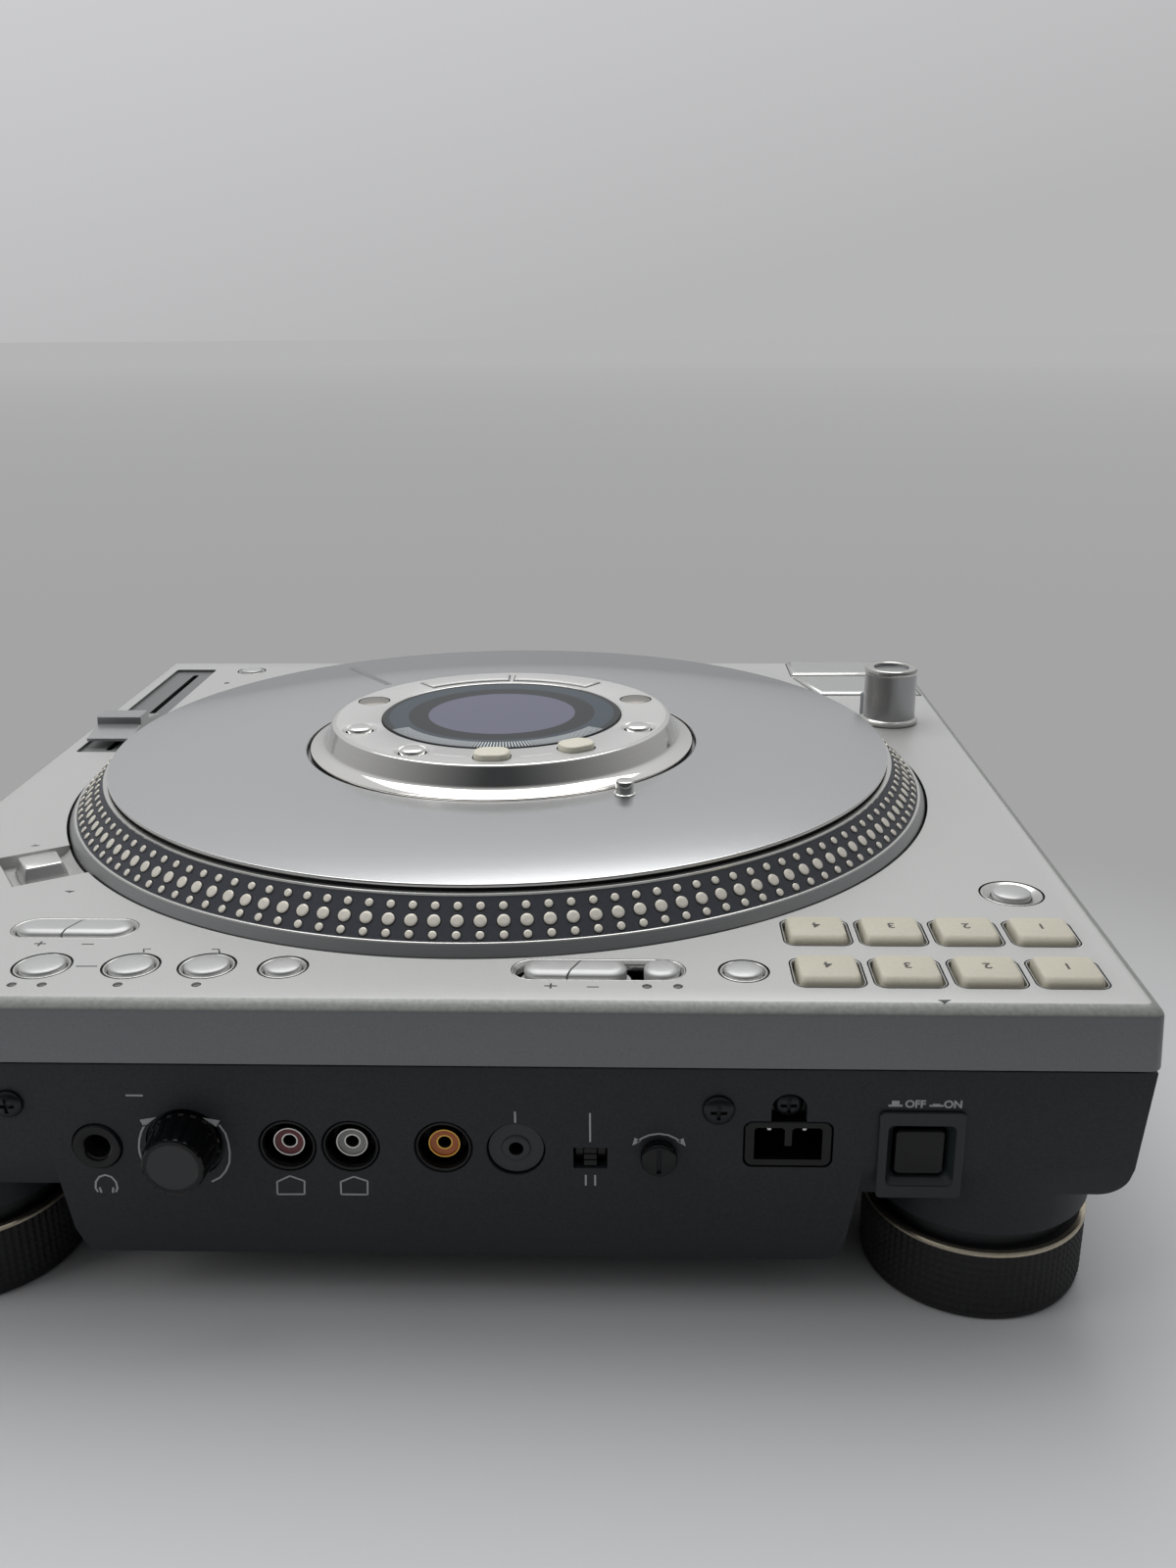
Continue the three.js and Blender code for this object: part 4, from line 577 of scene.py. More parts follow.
# %% Cutting one body with another
def carve(piece, cutter, operation="DIFFERENCE", sharp=35):
    knife = piece.modifiers.new("carve", "BOOLEAN")
    knife.object = cutter
    knife.operation = operation
    knife.solver = "EXACT"
    knife.material_mode = "TRANSFER"
    shown = piece.evaluated_get(bpy.context.evaluated_depsgraph_get())
    result = bpy.data.meshes.new_from_object(shown)
    piece.modifiers.clear()
    piece.data = result
    result.set_sharp_from_angle(angle=math.radians(sharp))
    bpy.data.objects.remove(cutter)
    return piece


print("bodies can be carved")

# %% [markdown]
# ## The platter
# The real platter is one aluminium casting with a painted slope that carries three rows of
# polished dots. Turning its profile with many segments gives the true round rim, and the strips
# of the profile take three finishes: turned metal, the dark slope, and a brighter metal on the lip
# and the band's top edge that is partly a machined finish and partly a painted highlight.

# %% Platter
platter_high = box_mm("platter")[1]
rim_radius = platter_high[0]
lip_radius, band_foot, band_top = rim_radius - 1.8, rim_radius - 2.8, rim_radius - 12
mirror_z = deck_z + 12.4
seat_z = deck_z + 12.3
band_paint = painted("platter band paint", (44, 47, 56), (28, 30, 38), scale=1400,
                     amount=0.5, rough=0.45, bump=0.15)
# A brighter turned metal for the platter's lip and the disc's edges: partly a machined finish,
# partly a painted highlight along the edges.
lip_metal_and_highlight = lathed("machined lip and highlight", (214, 213, 210), (170, 170, 168),
                    scale=1200, amount=0.5, rough=0.2, metallic=0.9)
platter_profile = [
    (22.35, deck_z - 9), (28, deck_z - 9), (28, seat_z - 3.5), (50, seat_z - 3.5),
    (50, deck_z - 5.4), (58, deck_z - 5.4), (58, seat_z - 3.5), (band_top - 6, seat_z - 3.5),
    (rim_radius - 6, deck_z), (rim_radius - 6, deck_z - 8), (rim_radius, deck_z - 8),
    (rim_radius, deck_z - 0.3), (rim_radius - 0.15, deck_z + 0.1),
    (lip_radius + 0.1, deck_z + 2.5), (lip_radius - 0.05, deck_z + 2.85, 1),
    (lip_radius - 0.3, deck_z + 3.2, 1), (lip_radius - 0.6, deck_z + 3.3, 1),
    (band_foot, deck_z + 3.2, 1), (band_foot - 0.1, deck_z + 3.1, 2),
    (band_top + 0.3, mirror_z - 0.35, 2), (band_top, mirror_z, 1), (band_top, mirror_z + 0.55, 1),
    (band_top - 0.2, mirror_z + 0.7, 1), (band_top - 1.5, mirror_z + 0.7, 1),
    (band_top - 1.7, mirror_z + 0.55, 1), (band_top - 1.7, seat_z), (22.35, seat_z),
    (22.35, deck_z - 9),
]
skin = new_skin()
add_turned(skin, platter_profile, 288)
make(skin, "turned_platter", [rim_silver, lip_metal_and_highlight, band_paint], "platter",
     ["platter"])
print("platter rim radius", round(rim_radius, 2), "mm")

# %% [markdown]
# ### Three rows of dots
# The dots are small polished pins with flat faces. Each stands square to the slope, with a near
# black ring of painted shadow round its foot. All three rows share their spokes, with the large
# dots in the middle.

# %% Dots on the band
dot_metal = painted("polished dot metal", (216, 211, 200), (190, 186, 176), scale=900,
                    amount=0.35, rough=0.42, metallic=0.4)
# Near black for a ring laid flat round each dot's foot: a painted shadow.
dot_shadow_black = painted("dot shadow ring", (16, 17, 20), (8, 8, 10), scale=900, rough=0.6)
spokes = 144
foot_point = Vector((band_foot - 0.1, deck_z + 3.1))
top_point = Vector((band_top + 0.3, mirror_z - 0.35))
climb = (top_point - foot_point).normalized()
lean = Vector((-climb.y, climb.x)) * -1
skin = new_skin()
for share, dot_radius, sides in ((0.15, 1.15, 14), (0.47, 1.75, 18), (0.81, 1.15, 14)):
    middle = foot_point.lerp(top_point, share)
    # The first ring lies flat on the slope round the dot, in the painted-shadow black.
    rings = ((dot_radius + 0.38, 0.01, 1), (dot_radius, 0.02, 0), (dot_radius, 0.3, 0),
             (dot_radius * 0.93, 0.37, 0), (dot_radius * 0.5, 0.39, 0), (0, 0.4, 0))
    for spoke in range(spokes):
        angle = math.tau * spoke / spokes
        outward = Vector((math.cos(angle), math.sin(angle)))
        sideways = Vector((-outward.y, outward.x))
        rows = []
        for ring_radius, height, _ in rings:
            row = []
            for i in range(sides if ring_radius else 1):
                turn_by = math.tau * i / sides
                across = ring_radius * math.cos(turn_by)
                flat = middle + climb * (ring_radius * math.sin(turn_by)) + lean * height
                spot = outward * flat.x + sideways * across
                row.append((spot.x, spot.y, flat.y))
            rows.append(row)
        add_rows(skin, rows, [zone for _, _, zone in rings], ends=False)
make(skin, "platter_dots", [dot_metal, dot_shadow_black], "platter", sharp=50)
print(3 * spokes, "dots,", len(skin["points"]), "points")

# %% [markdown]
# ## The jog disc and the slip mat
# The disc is a thin turned plate that the hand holds still while the platter runs on under it.
# Its edge takes the brighter lip metal, a painted highlight, and underneath it the felt keeps a
# dark line all round.

# %% Disc and mat
disc_low, disc_high = box_mm("jog_disc")
disc_radius, disc_hole = disc_high[0], 69.3
skin = new_skin()
add_turned(skin, [
    (disc_hole, disc_low[2], 1), (disc_radius - 0.2, disc_low[2], 1),
    (disc_radius, disc_low[2] + 0.2, 1), (disc_radius, disc_high[2] - 0.25, 1),
    (disc_radius - 0.1, disc_high[2] - 0.08, 1), (disc_radius - 0.3, disc_high[2]),
    (disc_hole + 0.25, disc_high[2], 1), (disc_hole, disc_high[2] - 0.25, 1),
    (disc_hole, disc_low[2], 1),
], 288)
make(skin, "turned_disc", [disc_silver, lip_metal_and_highlight], "jog_disc", ["jog_disc"])
mat_low, mat_high = box_mm("slip_mat")
skin = new_skin()
add_turned(skin, [(disc_hole, mat_low[2]), (mat_high[0], mat_low[2]),
                  (mat_high[0], mat_high[2] - 0.2), (mat_high[0] - 0.3, mat_high[2]),
                  (disc_hole, mat_high[2]), (disc_hole, mat_low[2])], 200)
make(skin, "felt_mat", [felt_black], "platter", ["slip_mat"])
print("disc from radius", disc_hole, "to", round(disc_radius, 1), "mm")

# %% [markdown]
# ## The feet
# Each foot is a broad rubber drum that can be screwed up and down to level the player, so its
# side has a grip of small pyramids. A champagne coloured ring closes the drum at the top.

# %% Feet
ring_gold = painted("champagne ring", (206, 196, 176), (168, 156, 132), scale=800,
                    amount=0.4, rough=0.24, metallic=0.9)
collar_black = painted("foot collar", (38, 40, 42), (26, 27, 29), scale=1500,
                       amount=0.4, rough=0.5, bump=0.1)
knurl_rows, knurl_columns = 8, 92
grip_low, grip_high = 2.4, 20
for foot in ("front_left_foot", "front_right_foot", "rear_left_foot", "rear_right_foot"):
    foot_low, foot_high = box_mm(foot)
    foot_x, foot_y = (foot_low[0] + foot_high[0]) / 2, (foot_low[1] + foot_high[1]) / 2
    foot_radius = (foot_high[0] - foot_low[0]) / 2
    at = upright(foot_x, foot_y)
    skin = new_skin()
    add_turned(skin, [
        (0, 3), (19.6, 3), (20, 2.6), (20, 0), (foot_radius - 2.2, 0), (foot_radius - 0.9, 0.6),
        (foot_radius - 0.5, 1.4), (foot_radius - 0.5, grip_low),
    ], 96, at)
    columns = knurl_columns * 2
    pitch = (grip_high - grip_low) / (knurl_rows * 2)
    rows = []
    for level in range(knurl_rows * 2 + 1):
        row = []
        for i in range(columns):
            peak = level % 2 == 1 and i % 2 == 1
            reach = foot_radius - (0.02 if peak else 0.55)
            row.append(at(*polar(reach, math.tau * i / columns), grip_low + level * pitch))
        rows.append(row)
    add_rows(skin, rows, [0] * (len(rows) - 1), ends=False)
    add_turned(skin, [
        (foot_radius - 0.5, grip_high), (foot_radius - 1.7, grip_high + 0.1),
        (foot_radius - 1.7, grip_high + 1.2), (26.5, grip_high + 1.2, 2), (26.5, foot_high[2], 2),
        (0, foot_high[2], 2),
    ], 96, at)
    add_turned(skin, [
        (foot_radius - 1.6, grip_high + 0.2, 1), (foot_radius - 0.25, grip_high + 0.2, 1),
        (foot_radius - 0.02, grip_high + 0.4, 1), (foot_radius - 0.02, grip_high + 1.15, 1),
        (foot_radius - 0.35, grip_high + 1.55, 1), (foot_radius - 1.6, grip_high + 1.6, 1),
        (foot_radius - 1.6, grip_high + 0.2, 1),
    ], 128, at)
    make(skin, foot + "_drum", [rubber_black, ring_gold, collar_black], "chassis",
         [foot], sharp=25)
print("four feet with", knurl_rows, "rows of", knurl_columns, "pyramids")

# %% [markdown]
# ## The cover
# The cover is one pressing: a flat deck, a bevelled edge and a skirt, all in one silver paint.
# The bevel and the skirt take darker copies of that silver: painted shade on faces that turn away
# from the light. It is built as a plain closed shell first. Pockets are then sunk into it, and
# holes go through their floors in a second cut. The cut walls take the finish of the cutter.

# %% Cover finishes
# The skirt takes the deck's silver darkened: painted shade on the side that faces away from the
# light.
skirt_shade_silver = painted("shaded skirt silver", (122, 125, 127), (92, 95, 98),
                     scale=3000, amount=0.35, rough=0.46, metallic=0.3, bump=0.12)
# A darker copy of the deck silver for the fader pocket's floor and walls: painted shade in the
# recess.
pocket_shade_silver = painted("shaded pocket floor", (112, 113, 113), (88, 89, 89), scale=1800,
                      amount=0.4, rough=0.45, metallic=0.3)
# Near black grey for every wall that a cutter leaves: painted shade in the holes, slots and the
# platter's well.
cut_wall_shade = painted("shaded cut wall", (34, 35, 37), (24, 25, 27), scale=1800, rough=0.5)
# Brighter and glossier than the deck silver: a painted highlight on the sloped rings, frames and
# the shoulders of the start and cue keys.
ring_highlight_silver = painted("highlight ring silver", (196, 196, 193), (168, 168, 165),
                      scale=1500, rough=0.22, metallic=0.8)
print("cover finishes:", skirt_shade_silver.name, pocket_shade_silver.name, ring_highlight_silver.name)

# %% Shell of the cover
cover_low, cover_high = box_mm("top_cover")
skirt_z = cover_low[2]
deck_wide, deck_deep = cover_high[0] - cover_low[0] - 1.6, cover_high[1] - cover_low[1] - 1.6
plate_z = deck_z - 2.6
skin = new_skin()
add_block(skin, [
    (deck_wide + 1.6, deck_deep + 1.6, 3.8, skirt_z, 1),
    (deck_wide + 1.6, deck_deep + 1.6, 3.8, skirt_z + 0.5, 1),
    (deck_wide + 0.1, deck_deep + 0.1, 3.1, deck_z - 2.6, 1),
    (deck_wide - 0.2, deck_deep - 0.2, 3.0, deck_z - 2.1, 2),
    (deck_wide - 0.8, deck_deep - 0.8, 2.7, deck_z - 1.6, 2),
    (deck_wide - 5.0, deck_deep - 5.0, 1.6, deck_z - 0.12, 2),
    (deck_wide - 5.8, deck_deep - 5.8, 1.4, deck_z),
])
cover = make(skin, "pressed_cover", [deck_silver, skirt_shade_silver, bevel_shade_silver, cut_wall_shade, pocket_shade_silver],
             "chassis", ["top_cover"])
skin = new_skin()
add_block(skin, slab(deck_wide - 6.4, deck_deep - 6.4, 1, skirt_z - 1, plate_z, 3))
carve(cover, make(skin, "hollow", cover.data.materials))
well_radius = rim_radius + 0.8
skin = new_skin()
add_turned(skin, drum(well_radius + 1.8, deck_z - 15, plate_z + 0.5, 3), 180)
carve(cover, make(skin, "well_cup", cover.data.materials), "UNION")
print("cover", round(deck_wide, 1), "by", round(deck_deep, 1), "mm")

# %% [markdown]
# ### The direction switch's recess
# The recess is set square to a spoke of the platter. Its floor sweeps up to the edge of the well
# like a scoop, so a finger finds the block without looking.

# %% Recess for the switch
beside_platter = turned_to(32.5, well_radius + 10.5)
skin = new_skin()
boss = [(-12.5, -15.1), (12.7, -15.1), (12.7, 15.1), (-12.5, 15.1)]
add_prism(skin, boss, deck_z - 5.8, plate_z + 0.5, beside_platter, 3)
carve(cover, make(skin, "switch_boss", cover.data.materials), "UNION")
print("switch boss joined")

# %% [markdown]
# ### Cutters for the openings
# Round pockets come from turned bodies, pads and keys from blocks with round corners, and the
# rest from prisms. Those in one cutter don't touch one another, so they can share one mesh.

# %% Cutter
round_pockets = {
    "pad_mode_button": 7.7, "save_button": 7.6, "load_button": 7.6, "execute_button": 6.6,
    "memory_button": 6.6, "record_button": 9.2, "pitch_range_button": 6.5,
}
pads = [f"{row}_pad_{i}" for row in ("cue", "sample") for i in (1, 2, 3, 4)]
pad_wide, pad_deep, pad_corner = 18.8, 17.2, 3.4
bank_x = (box_mm("bank_up_key")[1][0] + box_mm("bank_down_key")[0][0]) / 2
bank_y = centre_of("bank_up_key")[1]
trim_y = centre_of("trim_up_key")[1]
trim_right = box_mm("edit_button")[0][0] - 1.7
trim_x, trim_long = trim_right + 22.6, 45.2
dishes = [(bank_x, bank_y, 35.3, 13.2), (trim_x, trim_y, trim_long, 12.5)]
fader_x, fader_front, fader_rear = deck_wide / 2 - 16.7, 15 - deck_deep / 2, 145 - deck_deep / 2
slot_x = fader_x - 1.3
above, below = deck_z + 1, plate_z - 1
key_slant = {"start_key": 8.1, "cue_key": 0}


def cap_radius(button):
    low, high = box_mm(button)
    return (high[1] - low[1]) / 2 - 0.95


skin = new_skin()
add_turned(skin, drum(well_radius, deck_z - 13, above, 3), 288)
for button, pocket in round_pockets.items():
    hole = cap_radius(button) + 0.35
    add_turned(skin, [(0, below, 3), (hole, below, 3), (hole, deck_z - 1, 3),
                      (pocket + 0.1, deck_z - 1, 3), (pocket + 0.1, above, 3), (0, above, 3)],
               48, over(button))
for pad in pads:
    add_block(skin, slab(pad_wide, pad_deep, pad_corner, below, above, 3), over(pad))
for x, y, long, wide in dishes:
    add_block(skin, slab(long, wide, wide / 2, deck_z - 1.4, above, 3), upright(x, y), 14)
middle_y, fader_long = (fader_front + fader_rear) / 2, fader_rear - fader_front
# The fader pocket's floor and walls take finish 4, the painted shade.
add_block(skin, [(18.6, fader_long, 1.6, deck_z - 1.2, 4), (18.6, fader_long, 1.6, above, 3)],
          upright(fader_x, middle_y))
for key, slant in key_slant.items():
    low, high = box_mm(key)
    left, right, front, rear = low[0] - 0.35, high[0] + 0.35, low[1] - 0.35, high[1] + 0.35
    outline = [(left, front), (right, front), (right - slant, rear), (left, rear)]
    add_prism(skin, outline, below, above, zone=3)
carve(cover, make(skin, "deck_cutter", cover.data.materials))
scoop_steps = 8
scoop = [(9.1, deck_z - 4), (10.2, deck_z - 2.6), (10.8, deck_z - 0.6), (10.9, above),
         (-11.5, above)]
for step in range(scoop_steps + 1):
    share = 1 - step / scoop_steps
    scoop.append((-4.8 - 6.7 * share, deck_z - 4 + 3.1 * share * share))
skin = new_skin()
add_rows(skin, [[beside_platter(u, v, w) for u, w in scoop] for v in (-13.3, 13.3)], [0, 0])
add_turned(skin, drum(30, deck_z - 17, deck_z - 11, 3), 64)
add_prism(skin, rounded(2.6, fader_long - 12, 1.2, 4), below, deck_z - 0.6,
          upright(slot_x, middle_y), 3)
for x, y, long, wide in dishes:
    add_block(skin, slab(long - 2.6, wide - 2.6, wide / 2 - 1.3, below, deck_z - 1, 3),
              upright(x, y), 14)
tower_x, tower_y = -151.4, -74.4
add_turned(skin, drum(7.3, below, above, 3), 40, upright(tower_x, tower_y))
carve(cover, make(skin, "through_cutter", cover.data.materials))
skin = new_skin()
lever_slot = [(-1.55, -5.55), (1.55, -5.55), (1.55, 5.55), (-1.55, 5.55)]
add_prism(skin, lever_slot, deck_z - 7, deck_z - 3, beside_platter, 3)
carve(cover, make(skin, "lever_slot", cover.data.materials))
print("cover has", len(cover.data.polygons), "faces after", len(skin["faces"]), "cutting faces")

# %% [markdown]
# ### Rings and frames round the buttons
# Each button sits in a bright ring with a hair of painted shadow, the dark cut wall, outside it.
# The ring slopes down to the hole, and under a low light that slope is the brightest thing on the
# deck, so rings and frames take a brighter, glossier silver than the deck: a painted highlight.

# %% Rings, frames and dishes
skin = new_skin()
for button, pocket in round_pockets.items():
    hole = cap_radius(button) + 0.3
    outer = pocket - 0.45
    slope_out = outer - 0.55
    add_turned(skin, [
        (hole, plate_z), (hole, deck_z - 0.97), (hole + 0.1, deck_z - 0.9),
        (slope_out, deck_z - 0.08), (slope_out + 0.2, deck_z + 0.02), (outer - 0.12, deck_z),
        (outer, deck_z - 0.14), (outer, deck_z - 0.98), (hole + 0.3, deck_z - 0.98),
        (hole + 0.3, plate_z), (hole, plate_z),
    ], 64, over(button))
pad_frame = [
    (0.75, plate_z), (0.75, deck_z - 0.25), (0.7, deck_z - 0.04), (0.62, deck_z + 0.02),
    (0.42, deck_z + 0.02), (0.34, deck_z - 0.12), (0.3, plate_z), (0.75, plate_z),
]
for pad in pads:
    add_block(skin, inset_levels(pad_wide, pad_deep, pad_corner, pad_frame), over(pad), ends=False)
dish_frame = [
    (1.34, plate_z), (1.34, deck_z - 0.95), (1.2, deck_z - 0.8), (0.55, deck_z - 0.1),
    (0.4, deck_z + 0.02), (0.2, deck_z), (0.1, deck_z - 0.14), (0.1, deck_z - 1.3),
    (0.9, deck_z - 1.35), (0.9, plate_z), (1.34, plate_z),
]
for x, y, long, wide in dishes:
    add_block(skin, inset_levels(long, wide, wide / 2, dish_frame), upright(x, y), 14, ends=False)
make(skin, "button_rings", [ring_highlight_silver], "chassis", sharp=50)
print("rings round", len(round_pockets), "buttons,", len(pads), "pads and", len(dishes), "rockers")

# %% [markdown]
# ### The buttons themselves
# A round cap is almost flat with a soft shoulder, so it mirrors the sky as one even patch with a
# bright line at its edge.

# %% Round caps
for button in round_pockets:
    reach = cap_radius(button)
    skin = new_skin()
    add_turned(skin, [
        (0, plate_z - 1.3), (reach + 0.95, plate_z - 1.3), (reach + 0.95, plate_z - 0.3),
        (reach, plate_z - 0.3), (reach, deck_z + 0.25), (reach - 0.12, deck_z + 0.5),
        (reach - 0.35, deck_z + 0.68), (reach - 0.7, deck_z + 0.8), (reach * 0.75, deck_z + 0.95),
        (reach * 0.5, deck_z + 1.08), (reach * 0.25, deck_z + 1.16), (0, deck_z + 1.2),
    ], 56, over(button))
    make(skin, button + "_cap", [key_silver], button, [button], sharp=60)
print("round caps made")

# %% Rocker keys
def rocker_key(name, middle_x, middle_y, length, width, side):
    end, half = length / 2, width / 2
    rows = []
    for inset, height in ((-1.1, plate_z - 1.3), (-1.1, plate_z - 0.4), (0, plate_z - 0.4),
                          (0, deck_z + 0.05), (0.1, deck_z + 0.3), (0.45, deck_z + 0.6),
                          (1.2, deck_z + 0.95), (1.9, deck_z + 1.13), (2.5, deck_z + 1.2)):
        edge = half - inset
        tilt = 2 * edge / half
        row = [(0.25 - tilt, -edge)]
        for i in range(13):
            across, along = polar(edge, math.radians(-90 + 15 * i))
            row.append((end - half + across, along))
        row.append((0.25 + tilt, edge))
        rows.append([(middle_x + side * u, middle_y + side * v, height) for u, v in row])
    skin = new_skin()
    add_rows(skin, rows, [0] * len(rows))
    return make(skin, name + "_cap", [key_silver], name, [name], sharp=50)


for pair, length, width in (("bank", 32, 9.9), ("trim", 26.5, 9.2)):
    up_key, down_key = pair + "_up_key", pair + "_down_key"
    middle_x = (box_mm(up_key)[1][0] + box_mm(down_key)[0][0]) / 2
    for key, side in ((up_key, 1), (down_key, -1)):
        rocker_key(key, middle_x, centre_of(up_key)[1], length, width, side)
low, high = box_mm("edit_button")
wide, deep = high[0] - low[0], high[1] - low[1]
skin = new_skin()
add_block(skin, inset_levels(wide, deep, wide / 2, [
    (0, plate_z - 1.3), (0, deck_z + 0.1), (0.15, deck_z + 0.45), (0.6, deck_z + 0.8),
    (1.3, deck_z + 1.05), (2, deck_z + 1.2),
]), over("edit_button"), 12)
make(skin, "edit_button_cap", [key_silver], "edit_button", ["edit_button"], sharp=60)
print("rockers and edit button made")

# %% Pads
for pad in pads:
    skin = new_skin()
    add_block(skin, [
        (19.1, 17.5, 2.4, plate_z - 1.4), (19.1, 17.5, 2.4, plate_z - 0.4),
        (15.5, 15.0, 1.6, plate_z - 0.4), (15.5, 15.0, 1.6, deck_z + 0.2),
        (15.4, 14.8, 1.7, deck_z + 0.75), (15.3, 14.1, 1.8, deck_z + 1.25),
        (15.1, 12.9, 1.8, deck_z + 1.72), (14.7, 11.9, 1.7, deck_z + 1.98),
        (14.0, 11.1, 1.5, deck_z + 2.1),
    ], over(pad))
    make(skin, pad + "_cap", [pad_cream], pad, [pad], sharp=60)
print(len(pads), "pads made")

# %% [markdown]
# ## The hub
# The hub stands still while the disc turns round it. Its flare is polished metal, and polished
# metal shows its shape by what it mirrors, so the curve gets many steps.

# %% Hub finishes
hub_satin = painted("satin hub top", (192, 192, 190), (168, 168, 166), scale=3200,
                    rough=0.38, metallic=0.3)
dome_chrome = painted("button chrome", (232, 231, 228), (214, 213, 210), scale=1200,
                      amount=0.2, rough=0.07, spread=0.03, metallic=1.0)
key_cream = painted("cream hub key", (208, 204, 188), (192, 187, 170), scale=1200,
                    rough=0.36)
flat_grey = painted("flat hub key", (136, 131, 126), (114, 110, 106), scale=2200,
                    rough=0.32, metallic=0.5)
# Near black for the walls and floors of gaps, holes and hollows: painted shade, darker than the
# parts' own plastic or metal.
gap_shade_black = painted("gap", (16, 16, 17), (10, 10, 11), scale=1500, rough=0.6)
band_glass = painted("display band", (50, 62, 70), (42, 54, 62), scale=900,
                     rough=0.3, specular=0.2)
ring_glass = painted("display ring", (26, 29, 33), (20, 23, 27), scale=900,
                     rough=0.3, specular=0.2)
screen_glass = painted("display screen", (88, 88, 108), (78, 78, 96), scale=700,
                       rough=0.3, specular=0.3)
print("hub finishes:", hub_satin.name, band_glass.name, screen_glass.name)

# %% Hub housing
hub_low, hub_high = box_mm("hub_housing")
hub_sole, hub_top = hub_low[2], hub_high[2]
hub_base = (hub_high[0] - hub_low[0]) / 2
hub_rim = hub_base - 8
glass_low, glass_high = box_mm("display_glass")
glass_reach = (glass_high[0] - glass_low[0]) / 2
glass_seat = glass_low[2] - 0.3
hub_lip = hub_sole + 2.6
post_socket = 14.3
flare_steps = 22
profile = [(glass_reach + 0.3, glass_seat, 2), (glass_reach + 0.3, hub_top - 0.3),
           (glass_reach + 0.7, hub_top, 1), (hub_rim - 1.6, hub_top),
           (hub_rim - 1.3, hub_top - 0.02), (hub_rim - 0.5, hub_top - 0.12),
           (hub_rim - 0.1, hub_top - 0.3)]
for step in range(flare_steps + 1):
    share = 1 - step / flare_steps
    spread = 3.7 * (1 - share) + 3.4 * max(0, 1 - share / 0.26) ** 2
    profile.append((hub_rim + spread, hub_lip + (hub_top - 0.5 - hub_lip) * share))
profile += [(hub_base - 0.15, hub_lip - 0.15), (hub_base, hub_lip - 0.6),
            (hub_base, hub_sole + 0.1), (hub_base - 0.1, hub_sole, 2),
            (hub_base - 2.6, hub_sole, 2), (hub_base - 2.6, hub_lip - 0.6, 2),
            (hub_rim - 1.3, hub_top - 4.4, 2), (hub_rim - 1.3, hub_top - 2.2, 2),
            (glass_reach + 2, hub_top - 2.2, 2), (glass_reach + 2, glass_seat - 2.2, 2),
            (20, glass_seat - 2.2, 2), (20, hub_sole, 2), (post_socket, hub_sole, 2),
            (post_socket, glass_seat, 2), (glass_reach + 0.3, glass_seat, 2)]
# Finish 2 goes on the wall round the glass and on the hub's inside: painted shade.
skin = new_skin()
add_turned(skin, profile, 192)
hub = make(skin, "polished_hub", [chrome, hub_satin, gap_shade_black], "chassis",
           ["hub_housing"], sharp=40)
print("hub from", round(hub_base, 1), "to", round(hub_rim, 1), "mm radius")

# %% Holes for the hub's keys
def on_circle(radius, degrees):
    return polar(radius, math.radians(degrees))


def sector(middle, inset, height):
    inner, outer = search_inner, search_outer
    start, end = middle - search_half, middle + search_half
    trim = math.degrees(inset / outer)
    points = []
    for i in range(25):
        points.append((outer - inset, start + trim + (end - start - 2 * trim) * i / 24))
    for i in range(25):
        points.append((inner + inset, end - trim - (end - start - 2 * trim) * i / 24))
    return [(*on_circle(radius, degrees), height) for radius, degrees in points]


control_circle = hub_rim - 8.5
chrome_angles = {"loop_button_1": 22.8, "loop_button_2": 60.2, "loop_button_3": 160.5}
flat_angles = {"right_hub_key": -18.9, "left_hub_key": -158}
cream_keys = {"out_button": (91.3, hub_rim - 9.1), "in_button": (124.2, hub_rim - 10.1)}
search_keys = {"right_search_key": -69.3, "left_search_key": -109.7}
search_inner, search_outer, search_half = glass_reach + 3.2, hub_rim - 4.9, 19.3
key_hole, over_hub = hub_top - 5, hub_top + 1
# The walls of the key holes take finish 2, the painted shade.
skin = new_skin()
for degrees in chrome_angles.values():
    add_turned(skin, [(0, key_hole, 2), (4.8, key_hole, 2), (4.8, hub_top - 0.8),
                      (5.2, hub_top - 0.55), (6.0, hub_top), (6.0, over_hub), (0, over_hub)],
               48, upright(*on_circle(control_circle, degrees)))
for degrees in flat_angles.values():
    add_turned(skin, drum(5.9, key_hole, over_hub, 2), 48,
               upright(*on_circle(control_circle, degrees)))
for degrees, out in cream_keys.values():
    add_block(skin, slab(10.4, 12.6, 4.2, key_hole, over_hub, 2), turned_to(degrees, out))
for degrees in search_keys.values():
    add_rows(skin, [sector(degrees, 0, height) for height in (key_hole, over_hub)], [2, 2])
carve(hub, make(skin, "hub_cutter", hub.data.materials), sharp=40)
print("hub has", len(hub.data.polygons), "faces")

# %% Keys of the hub
key_low = hub_top - 3.9
flange_top = key_low + 0.9
for node, degrees in chrome_angles.items():
    skin = new_skin()
    add_turned(skin, [
        (0, key_low), (5.4, key_low), (5.4, flange_top), (4.3, flange_top),
        (4.3, hub_top - 0.1), (4.2, hub_top + 0.35), (3.9, hub_top + 0.7), (3.3, hub_top + 0.97),
        (2.4, hub_top + 1.12), (1.2, hub_top + 1.19), (0, hub_top + 1.2),
    ], 48, upright(*on_circle(control_circle, degrees)))
    make(skin, node + "_dome", [dome_chrome], node, [node], sharp=60)
for node, degrees in flat_angles.items():
    skin = new_skin()
    add_turned(skin, [
        (0, key_low), (6.8, key_low), (6.8, flange_top), (5.6, flange_top),
        (5.6, hub_top - 0.25), (5.35, hub_top), (0, hub_top),
    ], 48, upright(*on_circle(control_circle, degrees)))
    make(skin, node + "_cap", [flat_grey], node, [node], sharp=60)
